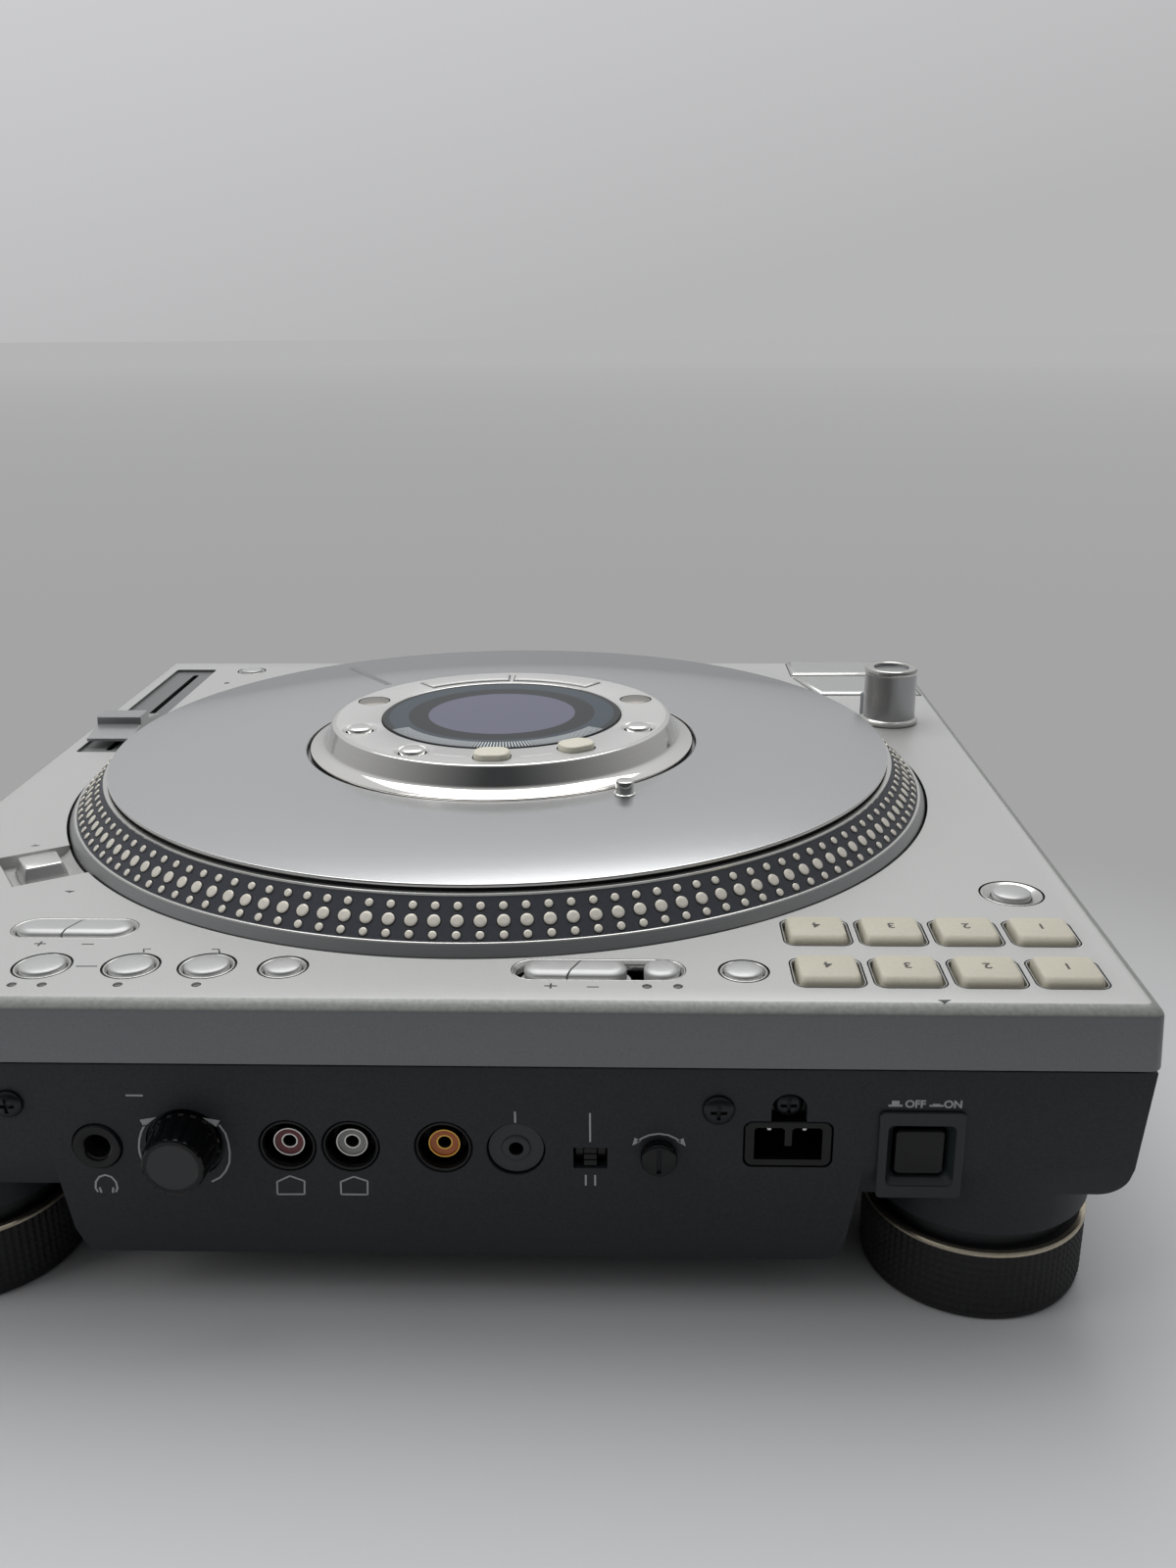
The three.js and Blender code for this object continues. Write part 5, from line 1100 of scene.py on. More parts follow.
for node, (degrees, out) in cream_keys.items():
    skin = new_skin()
    add_block(skin, [
        (11.9, 14.1, 4.2, key_low), (11.9, 14.1, 4.2, flange_top),
        (9.7, 11.9, 4.2, flange_top), (9.7, 11.9, 4.2, hub_top + 1.35),
        (9.5, 11.7, 4.1, hub_top + 1.7), (9.0, 11.2, 3.9, hub_top + 1.93),
        (8.2, 10.4, 3.6, hub_top + 2.05), (6.8, 9.0, 3.0, hub_top + 2.1),
    ], turned_to(degrees, out))
    make(skin, node + "_cap", [key_cream], node, [node], sharp=60)
for node, degrees in search_keys.items():
    skin = new_skin()
    add_rows(skin, [
        sector(degrees, inset, height)
        for inset, height in ((-0.7, key_low), (-0.7, flange_top), (0.35, flange_top),
                              (0.35, hub_top + 0.2), (0.55, hub_top + 0.5), (1.0, hub_top + 0.75),
                              (1.6, hub_top + 0.9))
    ], [0] * 7)
    make(skin, node + "_crescent", [hub_satin], node, [node], sharp=60)
print("hub keys made")

# %% Display
glass_top = glass_high[2]
band_out, band_in, screen_out = 39.9, 33.1, 26.1
skin = new_skin()
add_turned(skin, [
    (0, glass_low[2], 1), (glass_reach, glass_low[2], 1), (glass_reach, glass_top - 0.4, 1),
    (glass_reach - 0.4, glass_top, 1), (band_out, glass_top), (band_in, glass_top, 1),
    (screen_out, glass_top, 2), (0, glass_top, 2),
], 128)
make(skin, "display_window", [band_glass, ring_glass, screen_glass], "chassis",
     ["display_glass"])
print("display window radius", round(glass_reach, 1), "mm")

# %% [markdown]
# ## The base
# The base is a shallow trough for the wings with a deeper one between the feet. Each trough is
# what two long extrusions have in common, one seen from the rear and one from the side.

# %% Base shell
panel_y = box_mm("base_tub")[1][1]
base_half = box_mm("base_tub")[1][0]
crease_z = deck_z - 46.3
# The second finish, on the base's inner faces and on the walls and inner ends of its openings, is
# painted shade.
base_finishes = [panel_black, gap_shade_black]
base_wall = 3


def trough(name, half_top, half_bottom, corner, top, crease, bottom, shift, inset):
    reach, low = panel_y - inset, bottom + inset
    turn = corner - min(inset, corner / 2)
    across = [(-half_top + inset, top)]
    for middle, start in ((-half_bottom + inset + turn, 180), (half_bottom - inset - turn, 270)):
        for i in range(9):
            u, w = polar(turn, math.radians(start + 90 * i / 8))
            across.append((middle + u, low + turn + w))
    across.append((half_top - inset, top))
    bend = crease - inset
    along = [(-reach, top), (-reach, bend), (-reach + 3.6, low), (reach - 3.6, low),
             (reach, bend), (reach, top)]
    zone = 1 if inset else 0
    skin = new_skin()
    add_rows(skin, [[(shift + u, v, w) for u, w in across] for v in (-reach - 1, reach + 1)],
             [zone, zone])
    body = make(skin, name, base_finishes)
    skin = new_skin()
    add_rows(skin, [[(v, u, w) for u, w in along] for v in (-200, 200)], [zone, zone])
    return carve(body, make(skin, name + "_side", base_finishes), "INTERSECT")


def wing_trough(name, top, inset):
    return trough(name, base_half, base_half - 2.8, 7, top, crease_z, crease_z - 10, 0, inset)


def tub_trough(name, top, inset):
    return trough(name, 104.7, 100.4, 5, top, crease_z - 21.2, crease_z - 31, -1, inset)


base_top = skirt_z - 2
base = wing_trough("moulded_base", base_top, 0)
carve(base, tub_trough("tub", crease_z + 0.4, 0), "UNION")
skin = new_skin()
collar_low, collar_top, collar_x, collar_y = 27, crease_z - 0.5, 142, 142.5
collar = [(0, collar_low), (29.9, collar_low), (30.2, collar_low + 0.3), (30.2, collar_top),
          (0, collar_top)]
for side in (-1, 1):
    for end in (-1, 1):
        add_turned(skin, collar, 96, upright(collar_x * side, collar_y * end))
carve(base, make(skin, "collars", base_finishes), "UNION")
neck_x, neck_y = 2 * (base_half - 1.6), 2 * (panel_y - 1.6)
skin = new_skin()
add_block(skin, slab(neck_x, neck_y, 2, base_top - 0.4, skirt_z - 0.3))
carve(base, make(skin, "neck", base_finishes), "UNION")
skin = new_skin()
add_block(skin, slab(2 * base_half - 6, 2 * panel_y - 6, 1, base_top - 2, skirt_z + 1, 1))
carve(base, make(skin, "neck_space", base_finishes))
carve(base, wing_trough("wing_space", base_top + 1, base_wall))
carve(base, tub_trough("tub_space", crease_z + 1.4, base_wall))
print("base has", len(base.data.polygons), "faces")

# %% Openings in the walls
def wall_box(skin, width, height, x, z, front, rear, zone=0):
    add_prism(skin, [(x - width / 2, front), (x + width / 2, front), (x + width / 2, rear),
                     (x - width / 2, rear)], z - height / 2, z + height / 2, zone=zone)


def rear_turned(skin, profile, x, drop, segments=64):
    add_turned(skin, profile, segments, rearward(x, 0, deck_z - drop))


wall_in, wall_out = panel_y - 7, panel_y + 1
well_x = {"red": 41.9, "grey": 25.6, "orange": 1.7}
phones, volume, control, brake = (91.3, 42.5), (68.3, 41.5), (-16.9, 42.4), (-53.4, 43.4)
phono_drop = 42
mode_x, mode_z = -35.9, deck_z - 44.6
inlet_x, inlet_z = 89.9 - deck_wide / 2, deck_z - 40
power_x, power_z = 56.5 - deck_wide / 2, deck_z - 42.4
slot_wide, slot_z, eject_x = 128, deck_z - 36, 84
skin = new_skin()
for radius, (x, drop) in [(6.5, phones), (2.05, brake), (7.5, control)] + [
        (7.5, (x, phono_drop)) for x in well_x.values()]:
    rear_turned(skin, [(0, wall_in, 1), (radius, wall_in, 1), (radius, panel_y - 0.25),
                       (radius + 0.3, wall_out - 0.9), (radius + 0.3, wall_out),
                       (0, wall_out)], x, drop)
rear_turned(skin, [(0, wall_in, 1), (3.35, wall_in, 1), (3.35, panel_y - 1.2),
                   (10.2, panel_y - 1.2), (10.2, wall_out), (0, wall_out)], *volume)
wall_box(skin, 8.7, 6.1, mode_x, mode_z, wall_in, wall_out)
add_block(skin, [(22.8, 13.4, 2.4, wall_in, 1), (22.8, 13.4, 2.4, wall_out)],
          rearward(inlet_x, 0, inlet_z))
wall_box(skin, 19.2, 19.2, power_x, power_z, wall_in, wall_out)
wall_box(skin, slot_wide, 6.4, 0, slot_z, -wall_out, -wall_in)
wall_box(skin, 15.7, 6.7, eject_x, slot_z, -wall_out, -wall_in)
carve(base, make(skin, "wall_cutter", base_finishes))
skin = new_skin()
notch = [(-4.5, -2), (4.5, -2)]
for i in range(17):
    angle = math.pi * i / 16
    notch.append((4.5 * math.cos(angle), 3.4 + 4.3 * math.sin(angle)))
add_rows(skin, [[(inlet_x + u, y, deck_z - 33.1 + w) for u, w in notch]
                for y in (wall_in, wall_out)], [0, 0])
carve(base, make(skin, "screw_notch", base_finishes))
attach(base, "chassis")
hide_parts("base_tub")
print("base has", len(base.data.polygons), "faces with its openings")

# %% [markdown]
# ### Sockets
# A phono socket is a nickel barrel with a coloured ring of plastic, at the bottom of a glossy
# black cup. The cup is what makes the panel sparkle, since it mirrors the floor in a thin arc.

# %% Sockets on their board
nickel = painted("nickel barrel", (206, 204, 200), (184, 182, 178), scale=900,
                 rough=0.16, metallic=1.0)
red_ring = painted("red insert", (104, 30, 36), (84, 24, 28), scale=900, rough=0.3)
grey_ring = painted("grey insert", (140, 142, 138), (120, 122, 118), scale=900, rough=0.3)
orange_ring = painted("orange insert", (180, 96, 40), (156, 80, 30), scale=900, rough=0.3)
gold_ring = painted("gilt ring", (214, 170, 84), (194, 150, 66), scale=900, rough=0.2,
                    metallic=1.0)
control_grey = painted("control socket face", (42, 44, 46), (32, 34, 36), scale=1400,
                       rough=0.4)
# Finish 8 is the painted shade in the sockets' holes.
socket_finishes = [panel_black, gloss_black, nickel, red_ring, grey_ring, orange_ring, gold_ring,
                   control_grey, gap_shade_black]
board_low, board_high = box_mm("jack_board")
board_rear = panel_y - 26
buried = board_rear - 0.8
skin = new_skin()
add_prism(skin, [(board_low[0], board_low[1]), (board_high[0], board_low[1]),
                 (board_high[0], board_rear), (board_low[0], board_rear)],
          board_low[2], board_low[2] + 23)
for colour, x in well_x.items():
    insert = {"red": 3, "grey": 4, "orange": 5}[colour]
    barrel = 6 if colour == "orange" else 2
    floor_y = panel_y - 9
    rear_turned(skin, [
        (0, buried), (7.2, buried), (7.2, panel_y - 0.4, 1), (7.05, panel_y - 0.25, 1),
        (6.6, panel_y - 0.25, 1), (6.3, panel_y - 0.6, 1), (6.2, floor_y, 1), (4.2, floor_y, 2),
        (4.2, panel_y - 2.2, barrel), (4.05, panel_y - 2.0, barrel), (3.75, panel_y - 2.0, barrel),
        (3.65, panel_y - 2.5, insert), (2.1, panel_y - 2.6, barrel), (1.75, panel_y - 2.6, 8),
        (1.6, panel_y - 3.0, 8), (1.6, floor_y, 8), (0, floor_y, 8),
    ], x, phono_drop)
rear_turned(skin, [
    (0, buried), (7.2, buried), (7.2, panel_y - 1.15, 7), (7.05, panel_y - 1, 7),
    (3.8, panel_y - 1, 7), (3.6, panel_y - 0.6, 7), (3.4, panel_y - 0.5, 7),
    (1.9, panel_y - 0.5, 8), (1.9, panel_y - 9, 8), (0, panel_y - 9, 8),
], *control)
rear_turned(skin, [
    (0, buried), (6.2, buried), (6.2, panel_y + 0.6, 1), (6.0, panel_y + 0.8, 1),
    (4.2, panel_y + 0.8, 1), (3.6, panel_y + 0.5, 1), (3.2, panel_y, 2), (3.2, panel_y - 0.8, 8),
    (3.2, panel_y - 16, 8), (0, panel_y - 16, 8),
], *phones)
rear_turned(skin, [
    (0, buried), (7.8, buried), (7.8, panel_y - 3.3, 1), (3.35, panel_y - 3.3, 1),
    (3.35, panel_y - 6.6, 1), (0, panel_y - 6.6, 1),
], *volume)
make(skin, "socket_board", socket_finishes, "chassis", ["jack_board"], sharp=40)
print("sockets made")

# %% [markdown]
# ### Knobs, slider, inlet and power switch
# The volume knob is a tapered grip with soft flutes, and the brake is a small trimmer with a
# slot for a screwdriver. Flutes could be carved one by one, but a radius that swings with the
# angle gives them all in one ring of points. The slot and the inlet's mouth are really cut,
# because a dark patch laid on top would look flat from the side.

# %% Volume and brake knobs
knob_face = painted("knob face", (34, 35, 37), (26, 27, 29), scale=900, rough=0.34)
at_volume, flutes = rearward(volume[0], 0, deck_z - volume[1]), 18


def fluted(radius, depth, y):
    row = []
    for i in range(12 * flutes):
        angle = math.tau * i / (12 * flutes)
        reach = radius - depth * (0.5 - 0.5 * math.cos(angle * flutes)) ** 2
        row.append(at_volume(*polar(reach, angle), y))
    return row


knob_low, knob_high = panel_y - 0.9, box_mm("volume_knob")[1][1]
skin = new_skin()
add_rows(skin, [fluted(8.8, 0, knob_low), fluted(9.3, 0, knob_low + 0.4),
                fluted(9.25, 0, knob_low + 1.6), fluted(9.1, 0.3, knob_low + 2.0),
                fluted(8.2, 0.3, knob_high - 0.9), fluted(7.95, 0.15, knob_high - 0.3),
                fluted(7.5, 0.05, knob_high), fluted(6.6, 0, knob_high),
                fluted(6.4, 0, knob_high - 0.15)], [0, 0, 0, 0, 0, 0, 0, 1, 1])
rear_turned(skin, drum(3, panel_y - 6, knob_low + 0.2), *volume, 32)
make(skin, "volume_knob_grip", [gloss_black, knob_face], "volume_knob",
     ["volume_knob"], sharp=28)
skin = new_skin()
rear_turned(skin, [
    (0, wall_in), (1.7, wall_in), (1.7, panel_y + 0.3), (4.5, panel_y + 0.3),
    (4.65, panel_y + 0.45), (4.65, panel_y + 2.6), (4.45, panel_y + 3.0), (4.1, panel_y + 3.2),
    (0, panel_y + 3.2),
], *brake)
trimmer = make(skin, "brake_trimmer", [gloss_black], "brake_knob", ["brake_knob"])
skin = new_skin()
wall_box(skin, 1.2, 7.4, brake[0], deck_z - brake[1], panel_y + 2.2, panel_y + 4)
carve(trimmer, make(skin, "screwdriver_slot", [panel_black]))
print("knobs made")

# %% Mode slider
skin = new_skin()
wall_box(skin, 7.6, 9.1, mode_x, mode_z, panel_y - 6, panel_y - 3.3)
for step in range(3):
    middle = mode_z + (step - 1) * 1.8
    add_prism(skin, [(mode_x - 1.9, wall_in), (mode_x + 1.9, wall_in),
                     (mode_x + 1.9, panel_y - 0.9), (mode_x + 1.6, panel_y - 0.6),
                     (mode_x - 1.6, panel_y - 0.6), (mode_x - 1.9, panel_y - 0.9)],
              middle - 0.72, middle + 0.72)
wall_box(skin, 3.7, 5.3, mode_x, mode_z, wall_in + 0.2, panel_y - 1.1)
make(skin, "mode_slider_grip", [gloss_black], "mode_slider", ["mode_slider"])
print("mode slider made")

# %% Mains inlet
skin = new_skin()
add_block(skin, [(22.2, 12.8, 2.2, panel_y - 16.6), (22.2, 12.8, 2.2, panel_y - 0.3),
                 (21.6, 12.2, 2.0, panel_y)], rearward(inlet_x, 0, inlet_z))
inlet = make(skin, "inlet_body", [gloss_black, gap_shade_black], "chassis",
             ["mains_inlet"])
skin = new_skin()
mouth = [(8.6, -4.4), (8.6, 4.2), (7.9, 4.8), (1.6, 4.8), (0.9, 4.1), (0.9, -0.4)]
mouth += [(-u, w) for u, w in reversed(mouth)]
add_rows(skin, [[(inlet_x + u, y, inlet_z + w) for u, w in mouth]
                for y in (panel_y - 15, panel_y + 1)], [0, 0])
carve(inlet, make(skin, "inlet_mouth", inlet.data.materials))
skin = new_skin()
for side in (-1, 1):
    add_turned(skin, [(0, panel_y - 15.4), (1.2, panel_y - 15.4), (1.2, panel_y - 4.2),
                      (1.0, panel_y - 3.6), (0.5, panel_y - 3.2), (0, panel_y - 3.1)],
               24, rearward(inlet_x + side * 4.5, 0, inlet_z + 2.4))
make(skin, "inlet_pins", [nickel], "chassis")
skin = new_skin()
wall_box(skin, 11, 9.4, inlet_x, inlet_z + 9.9, panel_y - 6, panel_y - 3.3)
make(skin, "inlet_ear", [gloss_black], "chassis")
print("inlet made")

# %% Power switch
frame_green = painted("power frame plastic", (32, 38, 39), (24, 29, 30), scale=1600,
                      rough=0.34, specular=0.4)
# The funnel behind the key takes finish 1, the painted shade.
skin = new_skin()
to_power = rearward(power_x, 0, power_z)
add_block(skin, [
    (21.4, 24.9, 1.2, panel_y + 0.3), (21.6, 25.1, 1.3, panel_y + 0.5),
    (21.5, 25.0, 1.3, panel_y + 0.8), (21.0, 24.5, 1.1, panel_y + 1),
    (17.6, 17.9, 1.9, panel_y + 1), (17.1, 17.3, 1.7, panel_y + 0.85),
    (16.6, 16.6, 1.6, panel_y + 0.3), (13.5, 13.9, 1.5, panel_y - 2, 1),
    (13.5, 13.9, 1.5, panel_y - 18, 1), (18.6, 18.6, 0.4, panel_y - 18, 1),
    (18.6, 18.6, 0.4, panel_y + 0.3, 1), (21.4, 24.9, 1.2, panel_y + 0.3),
], to_power, ends=False)
make(skin, "power_surround", [frame_green, gap_shade_black], "chassis",
     ["power_frame"], sharp=25)
skin = new_skin()
add_block(skin, [
    (12.8, 13.2, 1.4, panel_y - 14), (12.8, 13.2, 1.4, panel_y - 1.5),
    (12.6, 13.0, 1.4, panel_y - 1.0), (12.1, 12.5, 1.3, panel_y - 0.7),
    (11.4, 11.8, 1.1, panel_y - 0.6),
], to_power)
make(skin, "power_key_cap", [gloss_black], "power_key", ["power_key"])
print("power switch made")

# %% Eject key
skin = new_skin()
at_eject = lambda u, v, w: (eject_x + u, w, slot_z + v)
add_block(skin, [(17, 8, 0.6, -panel_y + 4.3), (17, 8, 0.6, -panel_y + 3.3),
                 (15, 6, 0.8, -panel_y + 3.3), (15, 6, 0.8, -panel_y - 0.6),
                 (14.4, 5.4, 0.6, -panel_y - 0.9)], at_eject)
make(skin, "eject_key_cap", [gloss_black], "eject_key", ["eject_key"])
print("eject key made")

# %% [markdown]
# ## Things that stand on the deck
# The tower is a turned steel cap. The fader's cap is a bent plate with a ridge to push, and the
# direction switch is a small block with worn shoulders.

# %% Tower
tower_steel = lathed("tower steel", (172, 172, 172), (138, 139, 140), scale=1800,
                     amount=0.5, rough=0.3, metallic=0.8)
tower_ring = painted("tower bright ring", (196, 195, 191), (172, 171, 167), scale=900,
                     rough=0.18, metallic=0.9)
lamp_grey = painted("lamp window", (96, 102, 108), (82, 88, 94), scale=900, rough=0.25)
tower_top = box_mm("strobe_tower")[1][2]
seat = deck_z + 0.3
skin = new_skin()
add_turned(skin, [
    (0, plate_z), (7, plate_z), (7, seat, 1), (11.4, seat, 1), (11.5, seat + 0.1, 1),
    (11.5, seat + 1.1, 1), (11.2, seat + 1.5, 1), (10.6, seat + 1.75, 1), (10.3, seat + 2.1),
    (10.3, tower_top - 2.4, 1), (10.5, tower_top - 2.1, 1), (10.6, tower_top - 1.6, 1),
    (10.5, tower_top - 0.9, 1), (10.1, tower_top - 0.25, 1), (9.6, tower_top, 1),
    (7.6, tower_top, 1), (7.0, tower_top - 0.3), (6.6, tower_top - 1.6), (0, tower_top - 1.6),
], 96, upright(tower_x, tower_y))
at_lamp = turned_to(11.8, x=tower_x, y=tower_y)
lamp_outline = [(-7.9, 0), (-7.9, -11.9), (-7.4, -12.4), (7.4, -12.4), (7.9, -11.9), (7.9, 0)]
add_rows(skin, [[at_lamp(u, v, w) for u, v in lamp_outline]
                for w in (seat, deck_z + 9.1)] + [
    [at_lamp(u * 0.95, v * 0.97, deck_z + 9.5) for u, v in lamp_outline]], [2, 2, 2])
make(skin, "turned_tower", [tower_steel, tower_ring, lamp_grey], "chassis",
     ["strobe_tower"], sharp=30)
print("tower made")

# %% Fader cap
fader_grey = painted("fader cap paint", (168, 169, 169), (140, 141, 141), scale=2600,
                     rough=0.3, metallic=0.85)
fader_y = fader_front + 103
side_view = [(-18, 1.6), (18, 1.6), (18, 2.7), (9, 4.3), (5.3, 4.6), (4.9, 5.4), (4.6, 7.5),
             (4.1, 8), (-4.1, 8), (-4.6, 7.5), (-4.9, 5.4), (-5.3, 4.6), (-9, 4.3), (-18, 2.7)]
skin = new_skin()
rows = []
for x, trim in ((-8.8, 0.35), (-8.45, 0), (8.45, 0), (8.8, 0.35)):
    rows.append([(fader_x - 0.7 + x, fader_y + v * (1 - trim / 18),
                  deck_z + min(max(w, 1.6 + trim), w if w < 1.7 else w - trim * 0.7))
                 for v, w in side_view])
add_rows(skin, rows, [0] * 4)
stem_low = box_mm("fader_cap")[0][2]
add_prism(skin, [(slot_x - 0.9, fader_y - 5), (slot_x + 0.9, fader_y - 5),
                 (slot_x + 0.9, fader_y + 5), (slot_x - 0.9, fader_y + 5)],
          stem_low, deck_z + 1.9)
make(skin, "fader_cap_plate", [fader_grey], "fader_cap", ["fader_cap"], sharp=25)
print("fader cap made")

# %% Direction switch
switch_white = painted("switch block", (206, 206, 203), (176, 176, 172), scale=2200,
                       rough=0.27, metallic=0.85)
skin = new_skin()
floor_z = deck_z - 3.5
add_block(skin, [
    (14, 16, 1.7, floor_z), (14, 16, 1.7, floor_z + 0.5), (13.4, 15.4, 1.4, floor_z + 0.8),
    (12.9, 13.6, 1.2, deck_z - 1.2), (11.6, 11.9, 1.0, deck_z + 1.2),
    (11.0, 11.2, 0.9, deck_z + 1.8), (10.2, 10.4, 0.7, deck_z + 2),
], beside_platter)
lever_low = box_mm("direction_switch")[0][2]
add_block(skin, slab(2.4, 2.4, 0.2, lever_low, floor_z + 0.3), beside_platter)
make(skin, "direction_block", [switch_white], "direction_switch",
     ["direction_switch"], sharp=28)
print("direction switch made")

# %% Start and cue keys
big_key = painted("large key paint", (166, 167, 165), (136, 137, 136), scale=2800,
                  amount=0.35, rough=0.4, metallic=0.4)
for key, slant in key_slant.items():
    low, high = box_mm(key)
    skin = new_skin()
    rows = []
    for inset, height in ((0, low[2]), (0, deck_z - 0.05), (0.25, deck_z + 0.3),
                          (1.1, deck_z + 1.15), (1.5, deck_z + 1.35), (2.1, deck_z + 1.4)):
        rows.append([(low[0] + inset, low[1] + inset, height),
                     (high[0] - inset, low[1] + inset, height),
                     (high[0] - slant - inset, high[1] - inset, height),
                     (low[0] + inset, high[1] - inset, height)])
    # The sloped shoulders take the ring silver: a painted highlight along the key's edges.
    add_rows(skin, rows, [0, 0, 1, 1, 1, 0])
    make(skin, key + "_cap", [big_key, ring_highlight_silver], key, [key], sharp=40)
print("start and cue keys made")

# %% Finger pin
pin_low = box_mm("finger_pin")[0][2]
pin_top = centre_of("finger_pin")[2]
pin_floor = box_mm("jog_disc")[1][2]
skin = new_skin()
add_turned(skin, [
    (0, pin_low), (1.5, pin_low), (1.5, pin_floor), (3.35, pin_floor), (3.45, pin_floor + 0.12),
    (3.45, pin_floor + 0.4), (3.25, pin_floor + 0.55), (2.95, pin_floor + 0.6),
    (2.95, pin_top - 0.4), (2.8, pin_top - 0.12), (2.5, pin_top), (0, pin_top),
], 48, over("finger_pin"))
make(skin, "turned_pin", [dome_chrome], "jog_disc", ["finger_pin"])
print("finger pin made")

# %% [markdown]
# ## Screws
# The panel screws have a low dome and a cross. Each cross is cut by two bars, one after the
# other, because bars that cross inside one cutter would cancel out where they meet.

# %% Screws
screw_steel = painted("blackened screw", (48, 50, 52), (34, 36, 38), scale=900,
                      rough=0.3, metallic=0.8)
screws = [(112.8, 30.1, 3.9, 0), (-68.3, 30.0, 4.1, 0), (-86.1, 29.7, 3.9, -3.3)]
skin = new_skin()
for x, drop, radius, sunk in screws:
    face = panel_y + sunk
    rear_turned(skin, [
        (0, face - 1), (radius * 0.5, face - 1), (radius * 0.5, face), (radius, face),
        (radius, face + 0.5), (radius * 0.92, face + 1.0), (radius * 0.7, face + 1.5),
        (radius * 0.4, face + 1.8), (0, face + 1.9),
    ], x, drop, 40)
screw_heads = make(skin, "panel_screws", [screw_steel, gap_shade_black], "chassis")
# The cross recesses take finish 1, the painted shade.
for width, height in ((4.2, 1.0), (1.0, 4.2)):
    skin = new_skin()
    for x, drop, radius, sunk in screws:
        wall_box(skin, width, height, x, deck_z - drop, panel_y + sunk + 0.9,
                 panel_y + sunk + 4, 1)
    carve(screw_heads, make(skin, "cross_bar", screw_heads.data.materials))
print(len(screws), "screws")

# %% [markdown]
# ## Printed marks
# Ink is laid on as very thin ribbons, so a mark keeps a crisp edge at any zoom and takes its own
# finish. Only plain signs are printed: arrows, lines, plus and minus, digits, ON and OFF.

# %% Ribbon helper
ink_high = 0.03


def ribbon(skin, points, width, at):
    rows = []
    for i, (u, v) in enumerate(points):
        before = points[max(i - 1, 0)]
        after = points[min(i + 1, len(points) - 1)]
        along = Vector((after[0] - before[0], after[1] - before[1])).normalized() * (width / 2)
        left, right = (u - along.y, v + along.x), (u + along.y, v - along.x)
        rows.append([at(*left, 0), at(*right, 0), at(*right, ink_high), at(*left, ink_high)])
    add_rows(skin, rows, [0] * len(rows))


def stamp(text, size, at, name, material, body):
    curve = bpy.data.curves.new(name, "FONT")
    curve.body = text
    curve.size = size
    curve.align_x = "CENTER"
    curve.align_y = "CENTER"
    curve.extrude = 0.015
    curve.offset = 0.1
    source = bpy.data.objects.new(name, curve)
    bpy.context.scene.collection.objects.link(source)
    bpy.context.view_layer.update()
    shown = source.evaluated_get(bpy.context.evaluated_depsgraph_get())
    mesh = bpy.data.meshes.new_from_object(shown)
    bpy.data.objects.remove(source)
    for vertex in mesh.vertices:
        vertex.co = place(*at(*vertex.co))
    mesh.materials.clear()
    mesh.materials.append(material)
    piece = bpy.data.objects.new(name, mesh)
    bpy.context.scene.collection.objects.link(piece)
    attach(piece, body)
    return piece


deck_ink = painted("deck ink", (44, 45, 47), (36, 37, 39), scale=2000, rough=0.5)
marker_grey = painted("disc marker", (112, 112, 112), (100, 100, 100), scale=2000,
                      rough=0.4)
panel_ink = painted("panel ink", (168, 169, 169), (148, 150, 150), scale=2000, rough=0.5)
hub_ink = painted("white ink", (236, 236, 234), (206, 206, 204), scale=2000, rough=0.5)
pad_ink = painted("pad ink", (58, 54, 48), (48, 44, 40), scale=2000, rough=0.5)
print("ribbons and stamps ready")

# %% Marks on the deck
on_deck = upright(0, 0, deck_z)
skin = new_skin()
for line in ([(83.2, 146.8), (83.9, 144.8), (82.0, 144.8)],
             [(65.6, 144.7), (63.7, 144.7), (62.8, 147.1)],
             [(98.2, 155.4), (92.6, 155.3)],
             [(101.7, 142.0), (98.4, 142.0)], [(-35.1, 165.1), (-38.1, 165.1)]):
    ribbon(skin, line, 0.5, on_deck)
for x, y in ((113.1, 141.9), (-26.0, 164.7)):
    ribbon(skin, [(x - 1.6, y), (x + 1.6, y)], 0.55, on_deck)
    for side in (-1, 1):
        ribbon(skin, [(x, y + side * 0.28), (x, y + side * 1.4)], 0.55, on_deck)
for arrow in ([(144.2, 68.7), (145.3, 70.1), (142.0, 69.5)],
              [(118.3, 107.2), (120.4, 105.8), (117.2, 105.7)],
              [(-121.3, 170.8), (-122.7, 172.6), (-124.7, 170.7)]):
    add_prism(skin, arrow, 0, ink_high, on_deck)
make(skin, "deck_marks", [deck_ink], "chassis")
skin = new_skin()
for x, y in ((110.7, 166.0), (103.0, 165.9), (83.7, 165.6), (63.7, 165.3), (-50.2, 164.6),
             (-58.0, 164.5), (138.5, -135.0)):
    add_turned(skin, [(0, deck_z - 0.2), (1.25, deck_z - 0.2), (1.25, deck_z),
                      (1.1, deck_z + 0.12), (0.6, deck_z + 0.25), (0, deck_z + 0.3)],
               24, upright(x, y))
lens_dark = painted("unlit lamp", (44, 40, 40), (36, 32, 32), scale=900, rough=0.16)
make(skin, "deck_lamps", [lens_dark], "chassis")
print("deck marks and lamps")

# %% Digits on the pads
for pad in pads:
    x, y, top = centre_of(pad)
    stamp(pad[-1], 4.4, upright(x, y - 0.4, top + 0.01), pad + "_digit", pad_ink, pad)
print("digits on", len(pads), "pads")

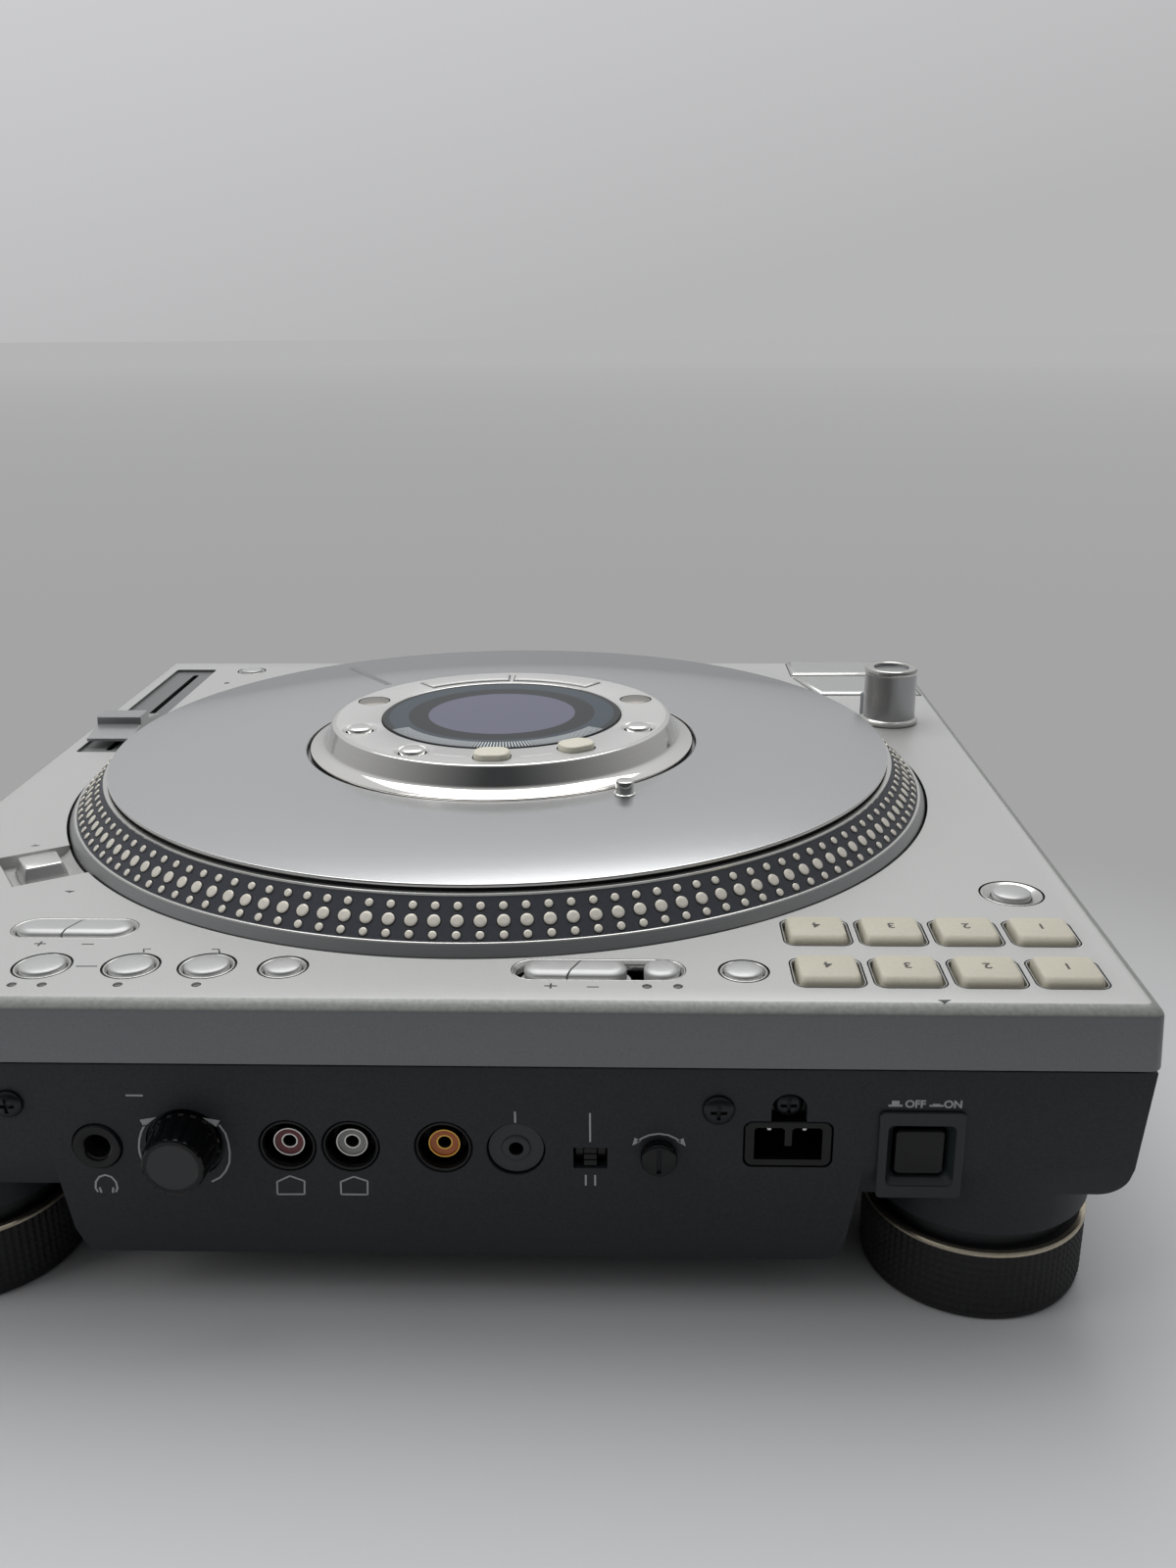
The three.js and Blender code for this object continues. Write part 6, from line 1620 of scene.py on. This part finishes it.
# %% Marks on the hub and the disc
on_hub = upright(0, 0, hub_top)
skin = new_skin()
for start, end in ((69.5, 82.0), (101.5, 113.5)):
    ribbon(skin, [on_circle(51.7, start + (end - start) * i / 8) for i in range(9)], 0.4, on_hub)
make(skin, "hub_lines", [hub_ink], "chassis")
skin = new_skin()
on_glass = upright(0, 0, glass_top)
ticks, first_tick, tick_step = 81, 31, 1.5
for i in range(ticks):
    degrees = first_tick + tick_step * i
    ribbon(skin, [on_circle(35.6, degrees), on_circle(41.6, degrees)], 0.32, on_glass)
tick_ink = painted("display ticks", (214, 218, 220), (196, 200, 202), scale=2000)
make(skin, "display_ticks", [tick_ink], "chassis")
skin = new_skin()
disc_face = deck_z + 15.2
ribbon(skin, [on_circle(91.8, -54.5), on_circle(128, -54.5)], 2.6, upright(0, 0, disc_face))
make(skin, "disc_marker", [marker_grey], "jog_disc")
print("hub and disc marks")

# %% Marks on the connector panel
on_panel = lambda u, v, w: (u, panel_y + w, deck_z + v)
skin = new_skin()
lines = [
    [(82.2, -27.5), (77.8, -27.5)],
    [(80.1, -46.3), (80.5, -44.4), (80.5, -42.6), (80.1, -40.3), (79.4, -38.2), (78.2, -36.0)],
    [(62.5, -52.9), (60.2, -51.6), (58.6, -49.7), (57.4, -47.2), (57.0, -44.2), (57.1, -41.2),
     (57.6, -38.4), (59.0, -35.9)],
    [(-16.9, -31.2), (-16.9, -34.4)], [(-35.9, -31.4), (-35.9, -39.8)],
    [(-34.7, -49.6), (-34.7, -52.8)], [(-37.1, -49.6), (-37.1, -52.8)],
    [(-47.9, -39.5), (-49.2, -38.5), (-51.0, -37.6), (-53.4, -37.2), (-55.8, -37.6),
     (-57.6, -38.5), (-58.9, -39.5)],
    [(92.8, -56.4), (93.3, -55.2), (93.0, -53.3), (91.9, -51.8), (90.3, -51.2), (88.7, -51.8),
     (87.7, -53.3), (87.5, -55.2), (88.1, -56.4)],
    [(92.2, -55.0), (91.9, -56.6)], [(88.6, -55.0), (88.9, -56.6)],
]
for line in lines:
    ribbon(skin, line, 0.5, on_panel)
for house in ([(45.6, -56.5), (45.4, -52.7), (41.9, -50.9), (38.2, -52.4), (38.5, -56.4)],
              [(28.9, -56.3), (28.8, -52.5), (25.3, -50.9), (21.8, -52.2), (22.0, -56.3)]):
    for i, corner in enumerate(house):
        ribbon(skin, [corner, house[(i + 1) % len(house)]], 0.45, on_panel)
for head in ([(75.0, -33.8), (79.4, -34.6), (78.6, -36.7)],
             [(63.1, -33.8), (58.7, -34.6), (59.8, -36.5)],
             [(-46.6, -40.8), (-47.2, -38.4), (-48.9, -39.4)],
             [(-60.2, -40.8), (-59.6, -38.4), (-57.9, -39.4)],
             [(-110.7, -28.7), (-114.2, -28.7), (-114.2, -28.1), (-110.7, -28.1)],
             [(-111.5, -28.1), (-113.4, -28.1), (-113.4, -27.0), (-111.5, -27.0)],
             [(-120.9, -28.6), (-124.4, -28.6), (-124.4, -28.1), (-120.9, -28.1)],
             [(-121.7, -28.1), (-123.6, -28.1), (-123.6, -27.8), (-121.7, -27.8)]):
    add_prism(skin, head, 0, ink_high, on_panel)
make(skin, "panel_marks", [panel_ink], "chassis")
for word, x in (("OFF", -117.4), ("ON", -126.8)):
    stamp(word, 2.9, rearward(x, panel_y, deck_z - 28.0), word.lower() + "_mark", panel_ink,
          "chassis")
print("panel marks made")

# %% [markdown]
# ## Measure
# The dressed model is meant to stay as large as the CAD model, so the box round all that it shows
# is measured and printed.

# %% Finish
low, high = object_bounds()
print("visual box in metres:", [round(v, 4) for v in (*low, *high)])
